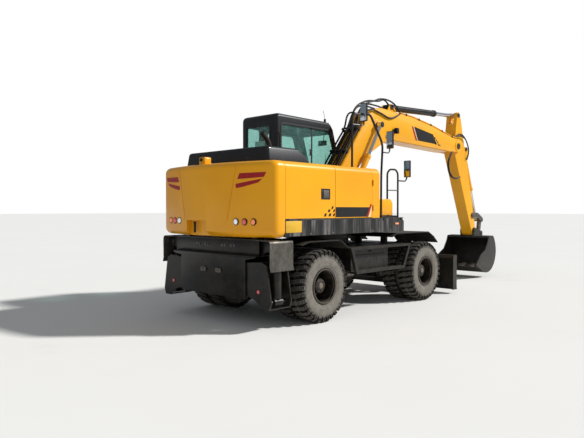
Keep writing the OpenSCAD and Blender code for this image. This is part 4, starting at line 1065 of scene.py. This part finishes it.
pads = settle("seat_pads", [
    cushion((-0.25, MID - 0.235, 1.75), (0.245, MID + 0.235, 1.865), 0.02),
    cushion((-0.075, MID - 0.225, 0.0), (0.075, MID + 0.225, 0.60), 0.0, (-0.285, 0, 1.84), 9),
    cushion((-0.05, MID - 0.14, 0.0), (0.05, MID + 0.14, 0.17), 0.0, (-0.385, 0, 2.40), 9),
], "house", SEAT, 60)
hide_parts("cab_seat")
consoles = [
    block((-0.20, MID - 0.20, INNER_FLOOR), (0.20, MID + 0.20, 1.745), 0.02),
    block((0.86, MID - 0.11, INNER_FLOOR), (0.95, MID + 0.11, 2.03), 0.02),
    pipe([(0.92, MID, 1.95), (0.80, MID, 2.16)], 0.022, 14),
    block((0.93, 0.42, 2.20), (0.96, 0.62, 2.36), 0.01),
    pipe([(1.06, 0.50, 1.95), (0.98, 0.50, 2.22)], 0.012, 10),
]
for side in SIDES:
    lever_y = MID + side * 0.29
    consoles += [block((-0.25, lever_y - 0.035, 1.71), (0.30, lever_y + 0.035, 1.99), 0.02, 3),
                 pipe([(0.22, lever_y, 1.98), (0.235, lever_y, 2.10)], 0.010, 10),
                 barrel((0.233, lever_y, 2.08), (0.245, lever_y, 2.20), 0.024, 18, 0.008, 0.019)]
inside = settle("cab_controls", consoles)
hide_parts("cab_seat")
wheel_parts = [ring(WHEEL_CENTRE, (-0.5, 0, 0.87), 0.19, 0.014, 48, 10),
               barrel((0.795, MID, 2.165), (0.785, MID, 2.19), 0.045, 24, 0.006)]
for degrees in (0, 120, 240):
    spoke = block((0.0, -0.012, -0.006), (0.185, 0.012, 0.006), 0.003)
    spoke.data.transform(Matrix.Translation(WHEEL_CENTRE) @ Matrix.Rotation(math.radians(-30), 4, "Y")
                         @ Matrix.Rotation(math.radians(degrees), 4, "Z"))
    wheel_parts.append(spoke)
settle("steering_wheel", wheel_parts)
settle("paper_sheet", block((-0.636, 0.66, 2.58), (-0.633, 0.90, 2.84), 0), "house", PAPER)
settle("inner_mirror", [block((0.80, 0.46, 2.86), (0.83, 0.66, 2.96), 0.012, 3),
                        pipe([(0.83, 0.56, 2.93), (0.86, 0.56, 3.04), (0.84, 0.56, 3.12)], 0.008, 8)])

# Boom: welded plates, pin caps, films, work lamp

BOOM_HALF = 0.19
FOOT_PIN, LIFT_PIN, ARM_PIN, ARM_TAIL = (0.170, 1.860), (1.550, 3.260), (4.870, 3.120), (2.200, 3.700)
BACK_START, BACK_KNEE, BACK_END = Vector((0.057, 1.925)), Vector((1.42, 3.625)), Vector((2.87, 3.56))
KNEE_REACH = 0.36
KNEE = [tuple(place) for place in soft_corner(BACK_START, BACK_KNEE, BACK_END, KNEE_REACH, 1, 10)]
BOOM_LINE = (bow(FOOT_PIN, 0.13, 150, 290, 12) + [(1.0, 2.44), (1.25, 2.66)]
             + bow((2.105, 2.27), 0.74, 122, 90, 8) + [(4.40, 2.965)] + bow(ARM_PIN, 0.15, -90, 20, 8)
             + [(4.74, 3.29), (4.56, 3.31), (3.70, 3.46), (2.87, 3.56)] + KNEE[::-1])
TAIL_EAR = [(2.0, 3.55), (2.13, 3.74), (2.20, 3.77), (2.26, 3.74), (2.42, 3.56)]
BOSSES = [
    # pin, height over the side plate, radius, rounding
    (LIFT_PIN, 0.015, 0.115, 0.006), (ARM_PIN, 0.010, 0.135, 0.004), (FOOT_PIN, 0.006, 0.115, 0.003),
]
BOOM_CAPS = [
    # pin, near and far place across, radius
    (ARM_PIN, 0.195, 0.216, 0.072), (LIFT_PIN, 0.20, 0.228, 0.062), (LIFT_PIN, 0.300, 0.322, 0.055),
    (ARM_TAIL, 0.098, 0.118, 0.052),
]
CAP_BOLT_SHARE = 0.62
BOOM_CHECKS = [(3.755, 3.235), (3.825, 3.190), (3.790, 3.115), (3.905, 3.100), (3.880, 3.150), (3.975, 3.090)]
BOOM_FILMS = [
    # name, finish, outlines
    ("band", BLACK_FILM, [[(2.913, 3.375), (3.694, 3.286), (3.873, 3.081), (3.063, 3.097)]]),
    ("red", RED_FILM, [[(2.814, 3.377), (2.880, 3.368), (3.035, 3.089), (2.968, 3.092)]]),
    ("white", WHITE_FILM, [[(2.887, 3.372), (2.903, 3.370), (3.056, 3.090), (3.040, 3.090)]]),
    ("checks", BLACK_FILM, [[(x, z), (x + 0.045, z - 0.004), (x + 0.060, z - 0.044), (x + 0.014, z - 0.040)]
                            for x, z in BOOM_CHECKS]),
]


def disc(pin, near, far, radius, round_by=0.004, sides=40):
    """A round plate on one of the boom's or arm's pins, from (x, z) and two places across."""
    return barrel(on_axis("Y", near, pin), on_axis("Y", far, pin), radius, sides, round_by)


def boom_plates():
    inner = BOOM_HALF - 0.012
    parts = [cut(plate(BOOM_LINE, "Y", -inner, inner), block((4.56, -0.143, 2.70), (5.20, 0.143, 3.60), 0))]
    parts += [plate(TAIL_EAR, "Y", y, y + 0.018, 0.003) for y in (-0.10, 0.082)]
    for side in SIDES:
        near, far = sorted((side * (BOOM_HALF - 0.016), side * BOOM_HALF))
        parts.append(plate(inset(BOOM_LINE, 0.012), "Y", near, far, 0.003))
        parts += [disc(pin, side * (BOOM_HALF - 0.02), side * (BOOM_HALF + tall), radius, round_by)
                  for pin, tall, radius, round_by in BOSSES]
    return parts


boom = settle("boom_plates", boom_plates(), "boom", BOOM_YELLOW, 30)
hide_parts("boom")

caps = [disc(ARM_TAIL, -0.10, 0.10, 0.034, 0.0)]
for side in SIDES:
    for pin, near, far, radius in BOOM_CAPS:
        caps.append(disc(pin, side * near, side * far, radius))
        caps += [disc(spot, side * far, side * (far + 0.010), 0.011, 0.001, 6)
                 for spot in bow(pin, radius * CAP_BOLT_SHARE, 45, 225, 1)]
settle("boom_pin_caps", caps, "boom", BRIGHT_BLACK)
settle("lift_pin_ends", [disc(LIFT_PIN, side * 0.20, side * 0.30, 0.034, 0.0) for side in SIDES], "boom",
       STEEL)
for word in ("right", "left"):
    for name, finish, outlines in BOOM_FILMS:
        film = joined([plate(outline, "Y", -BOOM_HALF - 0.0014, -BOOM_HALF + 0.001) for outline in outlines])
        if word == "left":
            flipped(film)
        settle(f"boom_{name}_{word}", film, "boom", finish)
settle("work_lamp", [block((2.118, -0.285, 3.150), (2.196, -0.205, 3.262), 0.012, 3),
                     block((2.09, -0.25, 3.185), (2.13, -0.186, 3.235)),
                     disc((1.93, 3.12), -0.185, -0.235, 0.028), disc((1.93, 3.12), -0.235, -0.252, 0.040)],
       "boom")
lamp_glass = block((2.192, -0.276, 3.160), (2.200, -0.214, 3.252), 0.003)
settle("work_lamp_lens", lamp_glass, "boom", WHITE_LENS)

# Hoses and steel lines

BACK_WAY = (BACK_KNEE - BACK_START).normalized()
BACK_OUT = Vector((-BACK_WAY.y, BACK_WAY.x))
HOSE_R, NOSE_R, LOOP_R, LINE_R = 0.017, 0.014, 0.013, 0.011
LEG_HOSES = [
    # place across, height over the back, points after the leg
    (-0.165, 0.055, [(1.13, -0.19, 3.44), (1.32, -0.212, 3.53), (1.62, -0.214, 3.50), (1.97, -0.212, 3.44),
                     (2.20, -0.205, 3.50), (2.42, -0.177, 3.60)]),
    (-0.100, 0.060, [(1.10, -0.10, 3.48), (1.27, -0.10, 3.63), (1.61, -0.10, 3.75), (1.81, -0.10, 3.81),
                     (2.10, -0.13, 3.80), (2.32, -0.15, 3.70), (2.43, -0.151, 3.61)]),
    (-0.035, 0.050, [(1.22, -0.035, 3.54), (1.42, -0.03, 3.66), (1.70, -0.03, 3.68), (1.96, -0.04, 3.66)]),
    (0.035, 0.062, [(1.16, 0.05, 3.55), (1.50, 0.05, 3.74), (1.97, 0.05, 3.81), (2.15, 0.05, 3.855),
                    (2.33, 0.04, 3.76), (2.42, 0.02, 3.71)]),
    (0.100, 0.050, [(1.22, 0.10, 3.54), (1.46, 0.12, 3.66), (1.80, 0.13, 3.67), (2.20, 0.15, 3.635),
                    (2.43, 0.151, 3.61)]),
    (0.165, 0.058, [(1.14, 0.19, 3.46), (1.34, 0.212, 3.52), (1.70, 0.214, 3.46), (2.05, 0.205, 3.52),
                    (2.42, 0.177, 3.60)]),
]
CAB_SIDE_HOSE = [(-0.34, 0.20, 1.84), (-0.18, 0.24, 2.10), (0.04, 0.262, 2.16), (0.10, 0.30, 1.95),
                 (0.10, 0.30, 1.60)]
CLAMPS = [
    # half length, low and high over the back, from and to across, rounding
    (0.020, 0.0, 0.085, -0.185, -0.172, 0.0), (0.020, 0.0, 0.085, 0.172, 0.185, 0.0),
    (0.022, 0.080, 0.090, -0.19, 0.19, 0.002), (0.022, 0.0, 0.034, -0.18, 0.18, 0.002),
]
BOOM_RIM = [(2.0, 3.600), (2.87, 3.56), (3.70, 3.46), (4.56, 3.31), (4.90, 3.29)]
LINES_Y = (-0.177, -0.151, 0.151, 0.177)
LINE_STATIONS = (2.42, 2.87, 3.30, 3.70, 4.20, 4.56, 4.78)
LOOP_ROUTE = [(4.66, -0.150, 3.02), (4.55, -0.165, 2.91), (4.42, -0.165, 2.68), (4.52, -0.165, 2.44),
              (4.80, -0.155, 2.36), (5.02, -0.150, 2.40)]


def on_back(along, out):
    """A place on the leg's back: its length from the foot and its height over the plate, as (x, z)."""
    return BACK_START + BACK_WAY * along + BACK_OUT * out


def leg_route(y, out):
    deck = [(-0.34, y * 0.7, 1.86), (-0.20, y * 0.8, 2.08), (0.02, y, 2.17)]
    return deck + [on_axis("Y", y, on_back(along, out)) for along in (0.48, 0.75, 0.98, 1.26, 1.55)]


def on_top(x, lift):
    """Height over the boom's long upper side."""
    for (xa, za), (xb, zb) in zip(BOOM_RIM, BOOM_RIM[1:]):
        if x <= xb:
            return za + (zb - za) * (x - xa) / (xb - xa) + lift


for number, (y, out, rest) in enumerate(LEG_HOSES, 1):
    hose = settle(f"leg_hose_{number}", pipe(leg_route(y, out) + rest, HOSE_R, 12), None, RUBBER, 60)
    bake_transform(hose)
settle("cab_side_hose", pipe(CAB_SIDE_HOSE, HOSE_R, 12), "house", RUBBER, 60)

clamps = []
for along in (0.955, 1.52):
    for half, low, high, near, far, round_by in CLAMPS:
        ends = ((-half, low), (-half, high), (half, high), (half, low))
        clamps.append(plate([on_back(along + way, out) for way, out in ends], "Y", near, far, round_by))
settle("hose_clamps", clamps, "boom", finish=CHASSIS)

lines = [pipe([(x, y, on_top(x, 0.022)) for x in LINE_STATIONS], LINE_R, 12, smooth=False) for y in LINES_Y]
lines += [barrel((x - 0.03, y, on_top(x, 0.022)), (x + 0.03, y, on_top(x, 0.020)), 0.015, 6)
          for y in LINES_Y for x in (LINE_STATIONS[0], LINE_STATIONS[-1])]
settle("boom_lines", lines, "boom", BOOM_YELLOW, 60)
grips = [block((x - 0.022, side * 0.139, on_top(x, -0.010)), (x + 0.022, side * 0.190, on_top(x, 0.040)))
         for x in (2.62, 3.12, 3.62, 4.12, 4.60) for side in SIDES]
settle("boom_line_clamps", grips, "boom")
for number, (y, far) in enumerate(zip(LINES_Y, (0.0, 0.05, 0.0, 0.05)), 1):
    route = [(4.80, y, 3.335), (5.00, y, 3.365 + far), (5.21, y, 3.345 + far), (5.37 + far, y, 3.22),
             (5.44 + far, y, 3.04), (5.38 + far * 0.4, y * 0.93, 2.84)]
    hose = settle(f"nose_hose_{number}", pipe(route, NOSE_R, 12), None, RUBBER, 60)
    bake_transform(hose)
for number, shift in enumerate((0.0, 0.045), 1):
    route = [(x + shift, y, z + shift * 0.3) for x, y, z in LOOP_ROUTE]
    hose = settle(f"loop_hose_{number}", pipe(route, LOOP_R, 12), None, RUBBER, 60)
    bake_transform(hose)

# Arm: pin caps and lines

ARM_ALONG, ARM_OUT = Vector((0.4242, -0.9056)), Vector((0.9056, 0.4242))
ARM_HALF = 0.135
ARM_CAPS = [
    # length from the arm's pin, height over the middle line, radius
    (2.219, 0, 0.060), (1.839, 0.097, 0.052), (-0.619, 0.422, 0.050),
]
ARM_LINE = [(0.02, 0.375), (0.16, 0.372), (0.22, 0.372)]


def arm_at(along, out):
    """A place on the arm as (x, z): its length from the arm's pin and its height over the middle line."""
    return Vector(ARM_PIN) + ARM_ALONG * along + ARM_OUT * out


arm_caps = []
for side in SIDES:
    arm_caps += [disc(arm_at(along, out), side * (ARM_HALF - 0.002), side * (ARM_HALF + 0.018), radius)
                 for along, out, radius in ARM_CAPS]
    arm_caps.append(disc(arm_at(0.277, 0.556), side * 0.086, side * 0.106, 0.046))
settle("arm_pin_caps", arm_caps, "arm", BRIGHT_BLACK)
arm_lines = [pipe([on_axis("Y", y, arm_at(*place)) for place in ARM_LINE], 0.012, 10, smooth=False)
             for y in (-0.10, -0.06, 0.06, 0.10)]
settle("arm_lines", arm_lines, "arm", RUBBER, 60)

# Outrigger carrier: plates, bent guards, pins and bolts

RIG_REAR, RIG_FRONT, RIG_HALF = -2.365, -1.91, 0.93
RIG_MID = (RIG_REAR + RIG_FRONT) / 2
RIG_LOW, RIG_TOP = 1.015, 1.238
RIG_PIN, RIG_CYLINDER = (0.17, 0.77), (1.10, 1.14)
EAR = [(0.92, 1.235), (0.92, 1.005), (1.02, 1.06)] + bow(RIG_CYLINDER, 0.075, -60, 60, 10) + [(1.10, 1.235)]
GUARD_OUT = 1.225
GUARD_BEND = (GUARD_OUT - 0.067, 1.180)
GUARD_TAB = [(GUARD_OUT - 0.0185, 1.06), (GUARD_OUT - 0.0145, 1.16)]
GUARD_LINE = ([(0.925, 1.230)] + bow(GUARD_BEND, 0.05, 90, 0, 8)
              + [(GUARD_OUT - 0.017, 0.880), (GUARD_OUT, 0.815), (GUARD_OUT - 0.012, 0.812),
                 (GUARD_OUT - 0.029, 0.878)] + bow(GUARD_BEND, 0.038, 0, 90, 8) + [(0.925, 1.218)])


def carrier_plate(top, start, end):
    """A plate across the machine, narrower at its foot; the left half's outline serves both sides."""
    half = [(0.69, 0.41), (0.725, 0.44), (0.725, 0.95), (0.925, 0.985), (0.925, top)]
    return plate(half + sided(-1, half[::-1]), "X", start, end, 0.003)


def carrier():
    parts = [carrier_plate(RIG_LOW, RIG_REAR, RIG_REAR + 0.015),
             carrier_plate(RIG_TOP, RIG_FRONT - 0.015, RIG_FRONT),
             block((RIG_REAR + 0.07, -RIG_HALF, 1.005), (RIG_REAR + 0.085, RIG_HALF, RIG_TOP), 0.003),
             block((RIG_REAR, -RIG_HALF, 1.000), (RIG_FRONT, RIG_HALF, RIG_LOW), 0.003),
             block((RIG_REAR + 0.045, -0.96, 1.215), (RIG_FRONT, 0.96, RIG_TOP), 0.005)]
    for side in SIDES:
        pin, cylinder = sided(side, (RIG_PIN, RIG_CYLINDER))
        parts.append(barrel((RIG_REAR - 0.012, *pin), (RIG_FRONT, *pin), 0.045, 32, 0.004))
        parts += [plate(sided(side, EAR), "X", x, x + 0.03, 0.003) for x in (RIG_MID - 0.11, RIG_MID + 0.08)]
        parts += [barrel((x, *cylinder), (x + 0.015, *cylinder), 0.05, 32, 0.003)
                  for x in (RIG_MID - 0.125, RIG_MID + 0.11)]
        parts += [block((x - 0.07, side * 0.60, 1.236), (x + 0.07, side * 0.615, 1.262), 0.003)
                  for x in (-2.20, -1.98)]
    return parts


def carrier_bolts(side):
    y, z = side * RIG_PIN[0], RIG_PIN[1]
    return [block((RIG_REAR - 0.018, y - 0.060, z - 0.030), (RIG_REAR - 0.011, y + 0.060, z + 0.030), 0.003),
            bolt_row([(RIG_REAR - 0.018, y + d, z) for d in (-0.035, 0.035)], "-X", 0.013, 0.014),
            bolt_row([(RIG_REAR + 0.07, side * d, 1.13) for d in (0.16, 0.22, 0.36, 0.42)], "-X", 0.013,
                     0.014),
            bolt_row([(x, side * 0.80, RIG_TOP) for x in (-2.25, -2.13, -2.01)], "+Z", 0.014, 0.012)]


carrier_piece = settle("carrier_plates", carrier(), "undercarriage", RIG_BLACK)
guards = []
for side in SIDES:
    (inner, low), (outer, high) = sided(side, GUARD_TAB)
    guards += [plate(sided(side, GUARD_LINE), "X", RIG_REAR + 0.005, RIG_FRONT - 0.005, 0.002),
               block((RIG_REAR + 0.005, inner, low), (RIG_REAR + 0.030, outer, high), 0.001)]
guard_piece = settle("cylinder_guards", guards, "undercarriage", GUARD_STEEL, 50)
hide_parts("outrigger_carrier")
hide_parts("outrigger_carrier")
settle("carrier_bolts", carrier_bolts(-1) + carrier_bolts(1), "undercarriage", STEEL)
for side, word in ((1, "left"), (-1, "right")):
    y = side * 0.96
    # The reflectors take the red lamp lens finish, whose emission makes them glow faintly: a painted glow, as
    # a reflector is no lamp.
    reflector = barrel((RIG_MID - 0.2020, y, 0.53), (RIG_MID - 0.2065, y, 0.53), 0.024, 28, 0.001)
    settle(f"reflector_{word}", reflector, f"outrigger_arm_{word}", RED_LENS)

# Toolboxes, hoses under the chassis, slewing ring, blade

BOX_Y = 1.060


def toolbox_trim(side):
    holes = [(-0.25 + 0.19 * i, side * BOX_Y, 0.82) for i in range(4)]
    return ([ring(hole, (0, 1, 0), 0.034, 0.004, 28, 8) for hole in holes]
            + [barrel((x, y - side * 0.004, z), (x, y + side * 0.0012, z), 0.032, 28, 0.0)
               for x, y, z in holes]
            + [block((-0.30, side * BOX_Y, 0.90), (0.50, side * 1.066, 0.915), 0.002),
               barrel((0.10, side * 1.058, 0.96), (0.10, side * 1.075, 0.96), 0.018, 20, 0.003)])


settle("toolbox_trim", toolbox_trim(-1) + toolbox_trim(1), "undercarriage", SEAL)
hoses = []
for side in SIDES:
    for i in range(3):
        y = 0.44 + 0.04 * i
        route = [(-1.86, y, 1.07 - 0.03 * i), (-1.40, y, 1.05), (-0.70, y - 0.04, 1.04),
                 (0.40, y - 0.06, 1.045), (1.10, y - 0.04, 1.03)]
        hoses.append(pipe([(x, side * across, z) for x, across, z in route], 0.013, 10))
settle("chassis_hoses", hoses, "undercarriage", RUBBER, 60)
ring_bolts = bolt_row([(x, y, 1.262) for x, y in bow((0, 0), 0.60, 0, 360 * 27 / 28, 27)], "-Z", 0.012, 0.012)
settle("slew_ring_bolts", ring_bolts, "house", STEEL)

blade_low, blade_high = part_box("blade")
edge_strip = block((blade_high[0] - 0.035, blade_low[1] + 0.01, blade_low[2] + 0.001),
                   (blade_high[0] - 0.012, blade_high[1] - 0.01, blade_low[2] + 0.09))
settle("blade_edge_strip", edge_strip, "blade", EDGE_STEEL)

# Stage

FLOOR_SIZE = 400
AMBIENT = 0.33
SUNS = [
    # place the light comes from, strength, softness in degrees
    ((6.0, -5.6, 6.0), 4.4, 4), ((-9.0, -3.0, 6.0), 0.22, 40),
]

bpy.ops.mesh.primitive_plane_add(size=FLOOR_SIZE, location=(0, 0, 0))
floor = coat(bpy.context.object, plain_finish("studio_floor", "e6e4df", 0.9, 3.0, 0.0, 0.02))
floor.name = "studio_floor"

world = bpy.data.worlds.new("studio")
bpy.context.scene.world = world
world.use_nodes = True
tree = world.node_tree
tree.nodes.clear()
path = tree.nodes.new("ShaderNodeLightPath")
lit, shown = tree.nodes.new("ShaderNodeBackground"), tree.nodes.new("ShaderNodeBackground")
lit.inputs["Color"].default_value, lit.inputs["Strength"].default_value = tone("dfe8f2"), AMBIENT
shown.inputs["Color"].default_value, shown.inputs["Strength"].default_value = (1, 1, 1, 1), 1.0
blend_node, out = tree.nodes.new("ShaderNodeMixShader"), tree.nodes.new("ShaderNodeOutputWorld")
seen = Signal(tree, path.outputs["Is Camera Ray"])
seen = seen.math("MAXIMUM", seen, Signal(tree, path.outputs["Is Transmission Ray"]))
for source, place in ((seen.socket, blend_node.inputs[0]), (lit.outputs[0], blend_node.inputs[1]),
                      (shown.outputs[0], blend_node.inputs[2]), (blend_node.outputs[0], out.inputs[0])):
    tree.links.new(source, place)

for place, strength, soft in SUNS:
    turn = (-Vector(place)).to_track_quat("-Z", "Y").to_euler()
    bpy.ops.object.light_add(type="SUN", location=place, rotation=turn)
    sun = bpy.context.object.data
    sun.energy, sun.angle = strength, math.radians(soft)

bpy.context.scene.view_settings.view_transform = "Standard"
